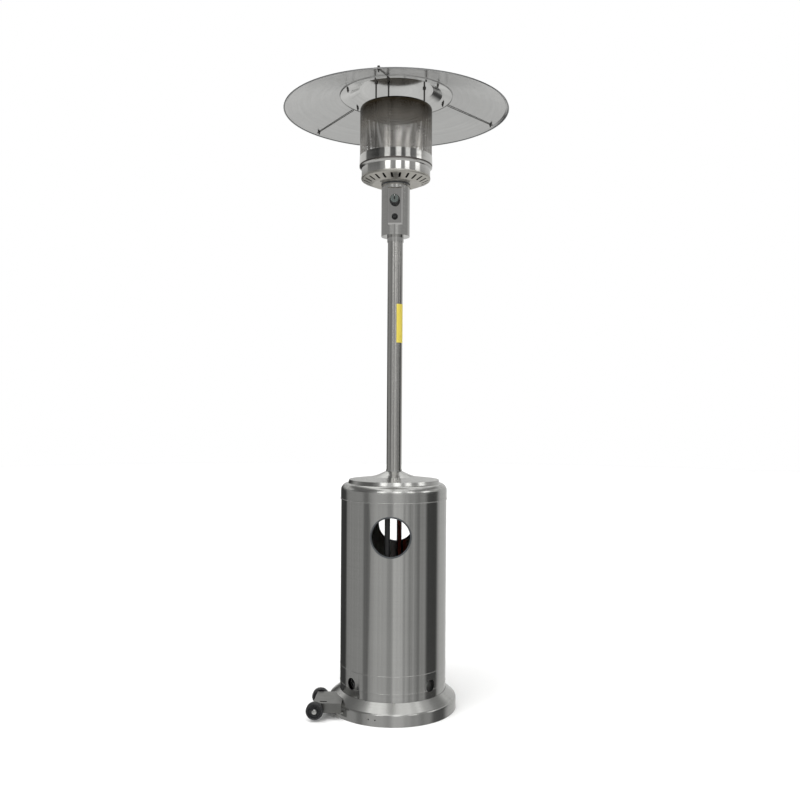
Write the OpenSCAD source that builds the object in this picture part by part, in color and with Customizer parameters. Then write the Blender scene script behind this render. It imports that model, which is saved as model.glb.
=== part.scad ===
// Outdoor gas heater: a bottle housing on a wheeled base, a post, a control
// housing, an emitter screen and a round three-panel reflector on studs.
// The origin is the centre of the base on the floor. +Z is up, the knob faces -Y.

/* [Base] */
// How far the base ring stands out beyond the tank housing
base_step = 37.5; // [25:0.5:60]
// Height of the base ring's upright wall
base_wall_h = 36; // [25:1:45]
// Height of the top of the base ring
base_h = 70; // [60:1:100]
// Radius of the rounded edge between the wall and the shoulder
base_edge_r = 10; // [5:1:15]
// Width of the foot flange under the base ring
base_flange_w = 14; // [8:1:25]
// Depth of the seat that the tank housing drops into
seat_depth = 10; // [6:1:20]
// Thickness of the base's floor plate
base_plate_t = 3; // [2:0.5:6]

/* [Sheet] */
// Thickness of the pressed sheet parts
sheet_t = 1; // [0.8:0.1:1.6]

/* [Gas bottle] */
// Radius of the gas bottle
bottle_r = 155; // [120:1:190]
// Height of the bottle's body, from dome to dome
bottle_body_h = 338; // [260:1:410]
// Height of each domed end
bottle_dome_h = 77.5; // [50:0.5:90]
// Thickness of the bottle's wall
bottle_wall = 3; // [2:0.5:5]
// Height of the bottle's body above the floor plate
bottle_lift = 10; // [4:1:30]
// Radius of the bottle's foot ring
bottle_foot_r = 101; // [80:1:115]
// Radius of the guard collar round the valve
collar_r = 90; // [75:1:105]
// Height of the guard collar's top above the bottle's body
collar_top = 104; // [90:1:130]
// Distance of the regulator from the bottle's axis
regulator_x = 95; // [88:1:110]
// Radius of the gas hose
hose_r = 6; // [4:0.5:7]
// Bend radius of the gas hose, along its middle
hose_bend_r = 48; // [36:1:52]

/* [Frame] */
// Outer diameter of the three leg tubes
leg_d = 19; // [15:0.5:25]
// Wall of the leg tubes
leg_wall = 1.5; // [1:0.1:3]
// Space between the gas bottle and the legs
bottle_gap = 11; // [6:0.5:25]
// Space between the legs and the tank housing
leg_gap = 5; // [3:0.5:10]
// Direction of the front leg, counted from +X
leg_angle = -94; // [-96:1:-92]
// Outer diameter of the post
post_d = 55; // [45:0.5:66]
// Wall of the post
post_wall = 1.5; // [1:0.1:3]
// Height of the post between the leg bracket and the control housing
post_reach = 921; // [700:1:1100]
// Thickness of the brackets and feet
bracket_t = 3; // [2:0.5:5]
// Width and height of the blank label on the post
label_size = [41, 140]; // [20:1:160]
// Height of the label's lower edge above the leg bracket
label_up = 535; // [300:1:560]

/* [Tank housing] */
// Height of the housing's shell
shell_h = 712; // [640:1:800]
// Overlap of the cap's skirt and the shell
cap_lap = 22; // [10:1:28]
// Height of the cap's upright skirt
cap_skirt_h = 31; // [29:1:50]
// Radius of the cap's rounded shoulder
cap_edge_r = 26; // [15:1:35]
// Radius of the hand holes, inside their trim
hand_hole_r = 67; // [45:1:72]
// Height of the hand holes' centre above the shell's lower edge
hand_hole_up = 574; // [540:1:590]
// Radius of the vent holes
vent_r = 20.5; // [10:0.5:25]
// Height of the vent holes above the shell's lower edge
vent_up = 54; // [45:1:80]
// Angle between the vent holes and the front or the back
vent_turn = 46; // [38:1:55]

/* [Control housing] */
// Radius of the control housing
control_r = 51.5; // [46:0.5:62]
// Height of the control housing
control_h = 189; // [160:1:230]
// Width of the control panel's flat face
panel_w = 47; // [38:1:56]
// Height of the control panel's flat face
panel_h = 124; // [110:1:130]
// How far the panel stands out in front of the control housing
panel_out = 2.5; // [2:0.5:8]
// Height of the knob's axis in the control housing
knob_up = 120; // [105:1:125]
// Diameter of the control knob
knob_d = 37; // [28:1:44]
// Length of the control knob
knob_len = 27; // [20:1:35]
// Travel of the control knob when it is pushed in
knob_travel = 3.5; // [2:0.5:4]
// Height of the igniter button's axis in the control housing
igniter_up = 62; // [55:1:75]
// Diameter of the igniter button
igniter_d = 14.5; // [10:0.5:18]
// How far the igniter button stands out of its bezel
igniter_out = 9; // [8:0.5:12]
// Travel of the igniter button
igniter_travel = 6; // [4:0.5:7]

/* [Burner and emitter] */
// Radius of the burner dish
dish_r = 125.5; // [115:0.5:145]
// Radius of the flat middle of the burner dish
dish_flat_r = 85; // [75:1:92]
// Number of air slots in the dish
slot_count = 24; // [12:1:30]
// Width of an air slot
slot_w = 8; // [4:0.5:9]
// Radius of the emitter screen
emitter_r = 130.5; // [118:0.5:150]
// Height of the emitter screen
emitter_h = 212; // [160:1:260]
// Radius of the emitter screen's rounded upper edge
emitter_edge_r = 9; // [4:1:14]

/* [Reflector] */
// Outer radius of the reflector
reflector_r = 406.5; // [330:0.5:490]
// Radius of the flat middle of the reflector's centre plate
centre_flat_r = 134; // [120:1:150]
// Outer radius of the centre plate
centre_r = 203; // [195:1:225]
// Radius of the circle of studs that carries the reflector
stud_ring_r = 104; // [90:1:112]
// Space between the emitter's top and the reflector
stud_gap = 64; // [40:1:90]
// Direction of the first seam between two panels
seam_angle = -95.5; // [-98:0.5:-92]

/* [Wheels] */
// Radius of the wheels
wheel_r = 30; // [22:1:33]
// Width of the wheels
wheel_w = 20; // [14:1:26]
// Diameter of the wheel axle
axle_d = 8; // [6:0.5:12]
// Height of the wheels above the floor while the heater stands
wheel_lift = 6.5; // [3:0.5:12]
// Distance of the rear wheel's middle in front of the X axis
wheel_rear_y = 36; // [30:1:50]
// Distance between the wheels' middles
wheel_spacing = 152; // [120:1:180]

/* [Fits] */
// Radial play of a shaft that turns in a hole
running_fit = 0.05; // [0.02:0.01:0.1]
// Space between pieces that slide past each other
moving_gap = 0.3; // [0.2:0.1:0.6]
// Space between the housing and what it slides past
lift_gap = 0.8; // [0.5:0.1:1.5]

/* [Hidden] */
$fn = 96;
cut = 1;

// Radii of the frame and the tank housing, from the bottle outwards
leg_r = leg_d / 2;
leg_ring_r = bottle_r + bottle_gap + leg_r;
housing_in_r = leg_ring_r + leg_r + leg_gap;
housing_r = housing_in_r + sheet_t;
base_r = housing_r + base_step;
seat_r = housing_r + lift_gap;
seat_ledge_w = leg_gap + sheet_t;

// Heights of the base, the bottle and the frame
z_plate = sheet_t + base_plate_t;
z_seat = base_h - seat_depth;
z_bottle = z_plate + bottle_lift;
z_bottle_top = z_bottle + bottle_body_h;
z_shell = z_seat + moving_gap;
z_shell_top = z_shell + shell_h;
bracket_rise = 3.7;
z_bracket = z_shell_top + bracket_rise;
z_post = z_bracket + bracket_t;
z_control = z_post + post_reach;
foot_bolt_r = leg_ring_r - 30;
leg_turns = [0, 180, -90];
bolt_r = 3;
bolt_head_r = 5.5;
bolt_head_h = 4;

// Post, label and neck of the tank housing
post_r = post_d / 2;
post_in_r = post_r - post_wall;
post_insert = 25;
socket_h = 45;
label_t = 0.3;
label_from = -75;
neck_r = post_r + label_t + 0.5;
post_collar_r = post_r + 2.5;
post_collar_h = 20;

// Cap of the tank housing
cap_r = housing_r + sheet_t;
z_cap = z_shell_top - cap_lap;
z_cap_edge = z_cap + cap_skirt_h;
z_step = z_cap_edge + cap_edge_r;
z_neck = z_step + 42;
neck_h = 5;
trim_w = 3.6;
trim_edge = 1.2;
bead_r = 1.1;
bead_heights = [38, 98];
z_hand_hole = z_shell + hand_hole_up;

// Bottle valve, regulator and hose
boss_r = 18;
boss_h = 8;
valve_stem_r = 10;
valve_body_r = 15;
valve_body_h = 52;
outlet_r = 11;
outlet_x = 34;
hose_nut_r = 19;
regulator_r = 30;
regulator_w = 28;
stub_r = 8;
z_outlet = z_bottle_top + boss_h + 32;
z_hose = z_outlet + regulator_r + 18;
hose_run_r = leg_ring_r - leg_r - hose_r - 10;
hose_run_angle = leg_angle + 178.5;
z_hose_turn = z_bracket - 2 * hose_bend_r;
handwheel_r = 30;
handwheel_h = 20;
handwheel_stem_r = 4;

// Control housing
panel_y = control_r + panel_out;
panel_bevel = 6;
panel_side = 12;
z_knob = z_control + knob_up;
z_igniter = z_control + igniter_up;
z_panel = z_control + 102;
z_head = z_control + control_h;
spindle_r = 4;
knob_r = knob_d / 2;
knob_y = panel_y + knob_travel + 1;
collar_t = 3.5;
thrust_r = 9;
valve_r = 14;
valve_front_y = control_r - 8;
valve_half_h = 26;
fitting_r = 8;
fitting_h = 20;
pipe_r = 5;
igniter_r = igniter_d / 2;
bezel_t = 2.5;

// Burner, bands, emitter and reflector
z_rim = z_head + 25;
z_burner = z_head + 62;
burner_plate_t = 5;
z_emitter = z_burner + burner_plate_t;
z_emitter_top = z_emitter + emitter_h;
band_h = 32;
burner_r = 60;
burner_hole_r = 22;
z_reflector = z_emitter_top + stud_gap;
centre_wall_r = centre_flat_r + 33;
lip_w = 11.5;
seam_gap = 0.25;
seam_lap = 4;
stud_r = 3;
stud_angle = -10.7;
seam_bolt_r = reflector_r - 21.5;
flange_bolt_r = centre_r - 18;
sheet_bolt_r = 2.5;
screw_ring_r = 70;
pilot_r = 2;
pilot_in_x = 25;
pilot_x = 80;
z_pilot_run = z_burner - 16;

// Wheels
axle_r = axle_d / 2;
wheel_z = wheel_lift + wheel_r;
wheel_x = -(base_r + wheel_r - 0.5);
wheel_front_y = -(wheel_rear_y + wheel_spacing);
bracket_gap = 3;
wheel_bracket_t = 2;
flange_front_y = wheel_front_y + wheel_w / 2 + bracket_gap;
flange_rear_y = -wheel_rear_y - wheel_w / 2 - bracket_gap;
z_web = wheel_z + 20;

// Outline helpers: points are [radius, height], and a skin lies to their left
function unit(v) = v / norm(v);
function left_of(v) = [-v[1], v[0]];
function mitre(a, b, t) = let(n = unit(left_of(a) + left_of(b))) n * t / (n * left_of(a));
function step_to(p, i) = unit(p[min(i, len(p) - 2) + 1] - p[min(i, len(p) - 2)]);
function shifted(p, t) = [for (i = [0:len(p) - 1]) p[i] + mitre(step_to(p, max(i - 1, 0)), step_to(p, i), t)];
function reversed(p) = [for (i = [len(p) - 1:-1:0]) p[i]];
function skin(p, t) = concat(p, reversed(shifted(p, t)));
function arc(centre, r, from, to, steps) =
    [for (i = [0:steps]) let(a = from + (to - from) * i / steps) centre + r * [cos(a), sin(a)]];
function between(a, b, share) = a + (b - a) * share;

// The shoulder's straight slope touches the rounded edge at this angle
edge_centre = [base_r - base_edge_r, base_wall_h];
to_seat = [seat_r, base_h] - edge_centre;
edge_end = atan2(to_seat[1], to_seat[0]) - acos(base_edge_r / norm(to_seat));
base_slope = concat(arc(edge_centre, base_edge_r, 0, edge_end, 6), [[seat_r, base_h]]);
base_outline = concat([[base_r - base_flange_w, 0], [base_r, 0]], base_slope,
    [[seat_r, z_seat], [seat_r - seat_ledge_w, z_seat]]);

cap_outline = concat([[cap_r, z_cap]], arc([cap_r - cap_edge_r, z_cap_edge], cap_edge_r, 0, 90, 8),
    [[cap_r - cap_edge_r - 3.5, z_step + 12], [post_r + 52, z_step + 22], [post_r + 30, z_step + 29],
    [neck_r + sheet_t, z_neck], [neck_r + sheet_t, z_neck + neck_h]]);

control_outline = concat([[post_r, z_control], [control_r, z_control]],
    arc([control_r - 5, z_head - 5], 5, 0, 90, 5), [[post_r, z_head]]);

dish_outline = [[post_r, z_head], [dish_flat_r, z_head], [dish_r - 4, z_head + 15], [dish_r - 1, z_head + 17],
    [dish_r, z_head + 20], [dish_r, z_rim]];
lower_band_outline = [[dish_r - sheet_t, z_rim - 5], [dish_r - sheet_t, z_rim + 29],
    [dish_r + 0.6, z_rim + 32], [emitter_r - 1.5, z_rim + 34.5], [emitter_r + 1.6, z_burner - 0.8]];
upper_band_outline = [[emitter_r + 1.9, z_emitter + 0.1], [emitter_r + sheet_t, z_emitter + band_h]];
emitter_outline = concat([[emitter_r, z_emitter]],
    arc([emitter_r - emitter_edge_r, z_emitter_top - emitter_edge_r], emitter_edge_r, 0, 90, 6));

centre_outline = [[0, z_reflector], [centre_flat_r, z_reflector], [centre_wall_r, z_reflector - 18],
    [centre_r, z_reflector - 25]];
centre_top = shifted(centre_outline, sheet_t);
panel_outline = [between(centre_top[2], centre_top[3], 0.15), centre_top[3],
    [reflector_r - lip_w, z_reflector - 75], [reflector_r, z_reflector - 82]];
function panel_z(r) = lookup(r, [for (p = panel_outline) [p[0], p[1]]]);
function centre_z(r) = lookup(r, [for (p = centre_outline) [p[0], p[1]]]);

function bottle_outline(inset) = concat(
    [for (a = [-90:10:0]) [(bottle_r - inset) * cos(a),
        z_bottle + bottle_dome_h + (bottle_dome_h - inset) * sin(a)]],
    [for (a = [0:10:90]) [(bottle_r - inset) * cos(a),
        z_bottle_top - bottle_dome_h + (bottle_dome_h - inset) * sin(a)]]);

// A ring or disc of sheet, turned from the outline of its outer face
module pressed(outline, t = sheet_t) {
    rotate_extrude() polygon(skin(outline, t));
}

module tube(r, wall, h) {
    difference() {
        cylinder(r = r, h = h);
        translate([0, 0, -cut]) cylinder(r = r - wall, h = h + 2 * cut);
    }
}

// Places its children at a distance from the axis, facing outwards
module polar(angle, r, z = 0) {
    rotate(angle) translate([r, 0, z]) children();
}

// A cylinder from one depth in front of the axis to another, at a given height
module forward(r, y_from, y_to, z) {
    translate([0, -y_from, z]) rotate([90, 0, 0]) cylinder(r = r, h = y_to - y_from);
}

// A plate with a round outer end, from one radius to another
module arm(r_from, r_to, half_w, t) {
    translate([r_from, -half_w, 0]) cube([r_to - r_from, 2 * half_w, t]);
}

module base_ring() {
    color("silver") difference() {
        pressed(base_outline);
        for (a = [-108, -102]) polar(a, base_r, 22) rotate([0, 90, 0]) cylinder(r = 2.3, h = 6, center = true);
        for (y = [flange_rear_y - 14, flange_front_y + 14])
            translate([-base_r, y, 22]) rotate([0, 90, 0]) cylinder(r = bolt_r, h = 260, center = true);
    }
}

module base_plate() {
    color("dimgray") difference() {
        translate([0, 0, sheet_t]) cylinder(r = base_r - 2 * sheet_t, h = base_plate_t);
        for (turn = leg_turns) polar(leg_angle + turn, foot_bolt_r) cylinder(r = bolt_r, h = 20, center = true);
    }
}

// A leg tube with a foot and a head that are bolted down
module leg(angle) {
    color("black") rotate(angle) {
        translate([leg_ring_r, 0, z_plate + bracket_t])
            tube(leg_r, leg_wall, z_bracket - z_plate - 2 * bracket_t);
        for (z = [z_plate, z_bracket - bracket_t]) translate([0, 0, z]) difference() {
            union() {
                arm(leg_ring_r - 42, leg_ring_r, leg_r, bracket_t);
                translate([leg_ring_r, 0, 0]) cylinder(r = leg_r, h = bracket_t);
            }
            translate([foot_bolt_r, 0, -cut]) cylinder(r = bolt_r, h = bracket_t + 2 * cut);
        }
    }
}

module leg_front() {
    leg(leg_angle + leg_turns[0]);
}

module leg_side() {
    leg(leg_angle + leg_turns[2]);
}

module leg_rear() {
    leg(leg_angle + leg_turns[1]);
}

module frame_bolts() {
    color("gray") for (turn = leg_turns) {
        polar(leg_angle + turn, foot_bolt_r) {
            translate([0, 0, sheet_t]) cylinder(r = bolt_r, h = base_plate_t + bracket_t);
            translate([0, 0, z_plate + bracket_t]) cylinder(r = bolt_head_r, h = bolt_head_h, $fn = 6);
            translate([0, 0, z_bracket - bracket_t - 6]) cylinder(r = bolt_r, h = 2 * bracket_t + 6);
            translate([0, 0, z_post]) cylinder(r = bolt_head_r, h = bolt_head_h, $fn = 6);
            translate([0, 0, z_bracket - bracket_t - bolt_head_h])
                cylinder(r = bolt_head_r, h = bolt_head_h, $fn = 6);
        }
    }
    color("gray") for (a = [0, 180]) polar(a, post_in_r - 4, z_post + 20) rotate([0, 90, 0]) {
        cylinder(r = bolt_r, h = post_wall + 4);
        translate([0, 0, post_wall + 4]) cylinder(r = bolt_head_r, h = 3);
    }
}

// The three-armed bracket on the legs, with the socket that holds the post
module post_bracket() {
    color("black") difference() {
        union() {
            translate([0, 0, z_bracket]) cylinder(r = post_r + 34, h = bracket_t);
            for (turn = leg_turns) rotate(leg_angle + turn) translate([0, 0, z_bracket])
                arm(0, leg_ring_r + leg_r - 1, leg_r + 6, bracket_t);
            translate([0, 0, z_post]) cylinder(r = post_in_r, h = socket_h);
        }
        translate([0, 0, z_post]) cylinder(r = post_in_r - 3, h = socket_h + cut);
        translate([0, 0, z_bracket - cut]) cylinder(r = 2 * hose_r, h = bracket_t + 2 * cut);
        for (turn = leg_turns) polar(leg_angle + turn, foot_bolt_r, z_bracket - cut)
            cylinder(r = bolt_r, h = bracket_t + 2 * cut);
        for (a = [0, 180]) polar(a, post_in_r - 4, z_post + 20) rotate([0, 90, 0])
            cylinder(r = bolt_r, h = 10);
    }
}

module post() {
    color("lightgray") difference() {
        translate([0, 0, z_post]) tube(post_r, post_wall, post_reach + post_insert);
        for (a = [0, 180]) polar(a, post_in_r - 4, z_post + 20) rotate([0, 90, 0])
            cylinder(r = bolt_r, h = 10);
    }
}

module post_label() {
    color("gold") translate([0, 0, z_post + label_up]) rotate(label_from)
        rotate_extrude(angle = label_size[0] / post_r * 180 / PI)
            translate([post_r, 0]) square([label_t, label_size[1]]);
}

module post_collar() {
    color("darkslategray") translate([0, 0, z_control - post_collar_h])
        tube(post_collar_r, post_collar_r - post_r, post_collar_h);
}

module bottle_solid() {
    rotate_extrude() polygon(bottle_outline(0));
}

module gas_bottle() {
    color("whitesmoke") difference() {
        union() {
            bottle_solid();
            translate([0, 0, z_bottle_top - 4]) cylinder(r = boss_r, h = boss_h + 4);
        }
        rotate_extrude() polygon(bottle_outline(bottle_wall));
        translate([0, 0, z_bottle_top - 2 * boss_h]) cylinder(r = valve_stem_r, h = 4 * boss_h);
    }
}

module bottle_foot_ring() {
    color("whitesmoke") difference() {
        translate([0, 0, z_plate]) tube(bottle_foot_r, bottle_wall, bottle_lift + bottle_dome_h / 2);
        bottle_solid();
    }
}

// The guard round the valve, open towards the regulator and with two hand holes
module bottle_collar() {
    color("whitesmoke") difference() {
        translate([0, 0, z_bottle_top - bottle_dome_h / 2])
            tube(collar_r, bottle_wall, collar_top + bottle_dome_h / 2);
        bottle_solid();
        translate([30, -80, z_bottle_top + boss_h]) cube([collar_r, 160, collar_top]);
        for (y = [-collar_r, collar_r]) translate([-35, y - 30, z_bottle_top + collar_top - 42])
            cube([50, 60, 24]);
    }
}

module bottle_valve() {
    color("goldenrod") difference() {
        union() {
            translate([0, 0, z_bottle_top - boss_h]) cylinder(r = valve_stem_r, h = 2 * boss_h);
            translate([0, 0, z_bottle_top + boss_h]) cylinder(r = valve_body_r, h = valve_body_h);
            translate([0, 0, z_outlet]) rotate([0, 90, 0]) cylinder(r = outlet_r, h = outlet_x);
        }
        translate([0, 0, z_bottle_top + boss_h + valve_body_h - 14])
            cylinder(r = handwheel_stem_r + running_fit, h = 14 + cut);
    }
}

module hose_nut() {
    color("black") translate([outlet_x - 8, 0, z_outlet]) rotate([0, 90, 0]) difference() {
        union() {
            cylinder(r = hose_nut_r, h = 20);
            translate([0, 0, 20]) cylinder(r = hose_nut_r - 5, h = 4);
        }
        translate([0, 0, -cut]) cylinder(r = outlet_r, h = 8 + cut);
        cylinder(r = stub_r, h = 30);
    }
}

module regulator() {
    color("slategray") union() {
        translate([outlet_x, 0, z_outlet]) rotate([0, 90, 0])
            cylinder(r = stub_r, h = regulator_x - regulator_r - outlet_x + 4);
        translate([regulator_x, 0, z_outlet]) rotate([90, 0, 0]) {
            cylinder(r = regulator_r, h = regulator_w, center = true);
            translate([0, 0, regulator_w / 2]) cylinder(r = regulator_r - 8, h = 7);
            translate([0, 0, regulator_w / 2 + 7]) cylinder(r = 7, h = 4);
        }
        translate([regulator_x, 0, z_outlet]) cylinder(r = hose_r + 3, h = z_hose - z_outlet);
    }
}

// The hose rises from the regulator, crosses to the rear leg, rises along it,
// crosses to the middle and rises through the post. Each crossing is two quarter turns.
function hose_quarters(from, to, z) = let(way = unit(to - from), b = hose_bend_r) concat(
    [for (a = [0:15:90]) let(p = from + way * b * (1 - cos(a))) [p[0], p[1], z + b * sin(a)]],
    [for (a = [0:15:90]) let(p = to - way * b * (1 - sin(a))) [p[0], p[1], z + b * (2 - cos(a))]]);

function hose_route() = let(
    run = hose_run_r * [cos(hose_run_angle), sin(hose_run_angle)],
    start = [regulator_x, 0]) concat(
    [[start[0], start[1], z_hose]],
    hose_quarters(start, run, z_hose + 2),
    hose_quarters(run, [0, 0], z_hose_turn - 2),
    [[0, 0, z_knob - valve_half_h - fitting_h]]);

// A round tube along a route that never turns flat on its side
module swept(route, r, sides = 12) {
    last = len(route) - 1;
    function along(i) = unit(route[min(i + 1, last)] - route[max(i - 1, 0)]);
    function across(i) = let(t = along(i)) unit(cross(t, cross([-1, 1, 0], t)));
    points = [for (i = [0:last]) let(u = across(i), v = cross(along(i), u))
        for (k = [0:sides - 1]) route[i] + r * (cos(360 / sides * k) * u + sin(360 / sides * k) * v)];
    walls = [for (i = [0:last - 1], k = [0:sides - 1]) let(n = (k + 1) % sides)
        [i * sides + k, (i + 1) * sides + k, (i + 1) * sides + n, i * sides + n]];
    polyhedron(points, concat(walls, [[for (k = [0:sides - 1]) k]],
        [[for (k = [sides - 1:-1:0]) last * sides + k]]));
}

module gas_hose() {
    color("orangered") swept(hose_route(), hose_r);
}

// The control housing is a polished can with a window behind its panel
module control_housing() {
    color("silver") difference() {
        pressed(control_outline);
        translate([-panel_w / 2 + 4, -control_r - cut, z_panel - panel_h / 2 + 6])
            cube([panel_w - 8, 20, panel_h - 12]);
    }
}

// The panel's outer form, or the space inside it
module panel_form(inset) {
    w = panel_w / 2 - inset;
    h = panel_h / 2 - inset;
    front = -panel_y + inset;
    back = -control_r + panel_side;
    low = z_panel - h - panel_bevel;
    high = z_panel + h + panel_bevel;
    intersection() {
        translate([0, 0, z_panel - panel_h]) linear_extrude(height = 2 * panel_h)
            polygon([[-w, front], [w, front], [w + panel_bevel, back], [-w - panel_bevel, back]]);
        rotate([90, 0, 90]) linear_extrude(height = 4 * panel_w, center = true)
            polygon([[front, z_panel - h], [front + 4, low], [back, low], [back, high], [front + 4, high],
                [front, z_panel + h]]);
    }
}

module control_panel() {
    color("silver") difference() {
        panel_form(0);
        panel_form(sheet_t);
        translate([0, 0, z_control]) cylinder(r = control_r, h = control_h);
        forward(spindle_r + 2, panel_y - 10, panel_y + 10, z_knob);
        forward(igniter_r + 2.5, panel_y - 10, panel_y + 10, z_igniter);
    }
}

module valve_bracket() {
    color("gray") difference() {
        intersection() {
            translate([-control_r, -12, z_knob - valve_half_h - 4]) cube([2 * control_r, 24, 2]);
            translate([0, 0, z_control]) cylinder(r = control_r - sheet_t, h = control_h);
        }
        translate([0, 0, z_control]) cylinder(r = fitting_r, h = control_h);
        translate([22, 8, z_control]) cylinder(r = 2, h = control_h);
    }
}

module gas_valve() {
    color("goldenrod") difference() {
        union() {
            forward(valve_r, 0, valve_front_y, z_knob);
            translate([0, 0, z_knob - valve_half_h]) cylinder(r = valve_r - 1, h = 2 * valve_half_h);
            translate([0, 0, z_knob - valve_half_h - fitting_h]) cylinder(r = fitting_r, h = fitting_h);
            translate([0, 0, z_knob + 10]) rotate([0, 90, 0]) cylinder(r = 4, h = pilot_in_x - 4);
        }
        forward(spindle_r + running_fit, 16, valve_front_y + cut, z_knob);
        forward(thrust_r + moving_gap, valve_front_y - collar_t - knob_travel - 1, valve_front_y + cut, z_knob);
    }
}

module gas_pipe() {
    color("goldenrod") union() {
        translate([0, 0, z_knob + valve_half_h]) cylinder(r = pipe_r, h = z_head - z_knob - valve_half_h + 12);
        translate([0, 0, z_head + 12]) cylinder(r = pipe_r + 3, h = 10, $fn = 6);
    }
}

module tilt_switch() {
    color("black") translate([24, 8, z_knob - valve_half_h - 24]) union() {
        cylinder(r = 9, h = 20);
        translate([-2, 0, 20]) cylinder(r = 2, h = 4);
    }
}

module igniter_body() {
    color("black") difference() {
        union() {
            forward(igniter_r + 2.5, 20, panel_y, z_igniter);
            forward(igniter_r + 4, panel_y, panel_y + bezel_t, z_igniter);
        }
        forward(igniter_r + moving_gap, panel_y - 18, panel_y + 10, z_igniter);
    }
}

// The pilot's pipe rises beside the gas pipe and crosses over below the burner plate
module pilot_tube() {
    color("goldenrod") union() {
        translate([pilot_in_x - 4, 0, z_knob + 10]) rotate([0, 90, 0]) cylinder(r = pilot_r, h = 4);
        translate([pilot_in_x, 0, z_knob + 8]) cylinder(r = pilot_r, h = z_pilot_run - z_knob - 8);
        translate([pilot_in_x, 0, z_pilot_run]) rotate([0, 90, 0])
            cylinder(r = pilot_r, h = pilot_x - pilot_in_x);
        translate([pilot_x, 0, z_pilot_run]) cylinder(r = pilot_r, h = z_emitter + 20 - z_pilot_run);
        for (x = [pilot_in_x, pilot_x]) translate([x, 0, z_pilot_run]) sphere(r = pilot_r);
    }
}

module pilot_burner() {
    color("gray") translate([pilot_x, 0, z_emitter + 20]) difference() {
        cylinder(r = 6, h = 16);
        translate([0, 0, 5]) cylinder(r = 4.5, h = 12);
        translate([0, -10, 9]) cube([10, 20, 10]);
    }
}

module thermocouple() {
    color("peru") translate([pilot_x, 14, z_emitter - 8]) {
        cylinder(r = 2, h = 40);
        translate([0, 0, -16]) cylinder(r = 3.5, h = 28);
    }
}

module spark_electrode() {
    color("white") translate([pilot_x, -14, z_emitter - 8]) {
        cylinder(r = 3, h = 30);
        translate([0, 0, 30]) cylinder(r = 1, h = 12);
    }
}

module burner_head() {
    color("gray") difference() {
        union() {
            translate([0, 0, z_head + 16]) cylinder(r = burner_hole_r, h = z_emitter - z_head - 16);
            translate([0, 0, z_emitter]) cylinder(r = burner_hole_r + 4, h = 30);
            translate([0, 0, z_emitter + 30]) cylinder(r = burner_r, h = 14);
        }
        translate([0, 0, z_head + 15]) cylinder(r = burner_hole_r - 2, h = z_emitter - z_head + 20);
        translate([0, 0, z_emitter + 33]) cylinder(r = burner_r - 2, h = 9);
        translate([0, 0, z_emitter]) cylinder(r = 18, h = 35);
        for (k = [0:11]) rotate(30 * k) translate([burner_r - 12, 0, z_emitter + 41])
            cylinder(r = 4, h = 5);
        for (k = [0:3]) polar(45 + 90 * k, burner_hole_r, z_head + 30) rotate([0, 90, 0])
            cylinder(r = 6, h = 8, center = true);
    }
}

module burner_plate() {
    color("dimgray") translate([0, 0, z_burner]) difference() {
        cylinder(r = emitter_r + 1.4, h = burner_plate_t);
        translate([0, 0, -cut]) cylinder(r = burner_hole_r, h = burner_plate_t + 2 * cut);
        for (k = [0:7]) polar(45 * k + 22.5, 78, -cut) cylinder(r = 9, h = burner_plate_t + 2 * cut);
        for (k = [0:2]) polar(stud_angle + 120 * k, stud_ring_r, -cut) cylinder(r = stud_r, h = 20);
        translate([pilot_x, 0, -cut]) cylinder(r = pilot_r, h = 20);
        translate([pilot_x, 14, -cut]) cylinder(r = 3.5, h = 20);
        translate([pilot_x, -14, -cut]) cylinder(r = 3, h = 20);
    }
}

// The dish under the burner, with a ring of air slots in its sloping face
module burner_dish() {
    slot_from = dish_flat_r + 7 + slot_w / 2;
    slot_to = dish_r - 7 - slot_w / 2;
    color("silver") difference() {
        pressed(dish_outline);
        for (k = [0:slot_count - 1]) rotate(-94.5 + 360 / slot_count * k) translate([0, 0, z_head - cut]) {
            translate([slot_from, -slot_w / 2, 0]) cube([slot_to - slot_from, slot_w, 30]);
            translate([slot_from, 0, 0]) cylinder(r = slot_w / 2, h = 30, $fn = 24);
            translate([slot_to, 0, 0]) cylinder(r = slot_w / 2, h = 30, $fn = 24);
        }
        for (k = [0:3]) polar(45 + 90 * k, screw_ring_r, z_head - cut) cylinder(r = 2, h = 4);
    }
}

module dish_screws() {
    color("gray") for (k = [0:3]) polar(45 + 90 * k, screw_ring_r, z_head) {
        translate([0, 0, -2]) cylinder(r = 3.5, h = 2);
        cylinder(r = 2, h = z_burner - z_head);
    }
}

module lower_band() {
    color("silver") pressed(lower_band_outline);
}

module upper_band() {
    color("silver") pressed(upper_band_outline);
}

module emitter_screen() {
    color("darkgray") pressed(emitter_outline);
}

module emitter_top() {
    color("dimgray") translate([0, 0, z_emitter_top - sheet_t]) difference() {
        cylinder(r = emitter_r - emitter_edge_r - 0.2, h = sheet_t);
        for (k = [0:2]) polar(stud_angle + 120 * k, stud_ring_r, -cut) cylinder(r = stud_r, h = 20);
    }
}

module reflector_studs() {
    color("dimgray") for (k = [0:2]) polar(stud_angle + 120 * k, stud_ring_r, z_burner)
        cylinder(r = stud_r, h = z_reflector + 10 - z_burner);
}

// A nut on each side of the emitter's top and of the reflector's centre plate
module stud_nuts() {
    nut_h = 5;
    heights = [z_emitter, z_emitter_top, z_reflector - nut_h, z_reflector + sheet_t];
    color("gray") for (k = [0:2]) for (z = heights) polar(stud_angle + 120 * k, stud_ring_r, z) difference() {
        cylinder(r = 6, h = nut_h, $fn = 6);
        translate([0, 0, -cut]) cylinder(r = stud_r, h = nut_h + 2 * cut);
    }
}

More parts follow.
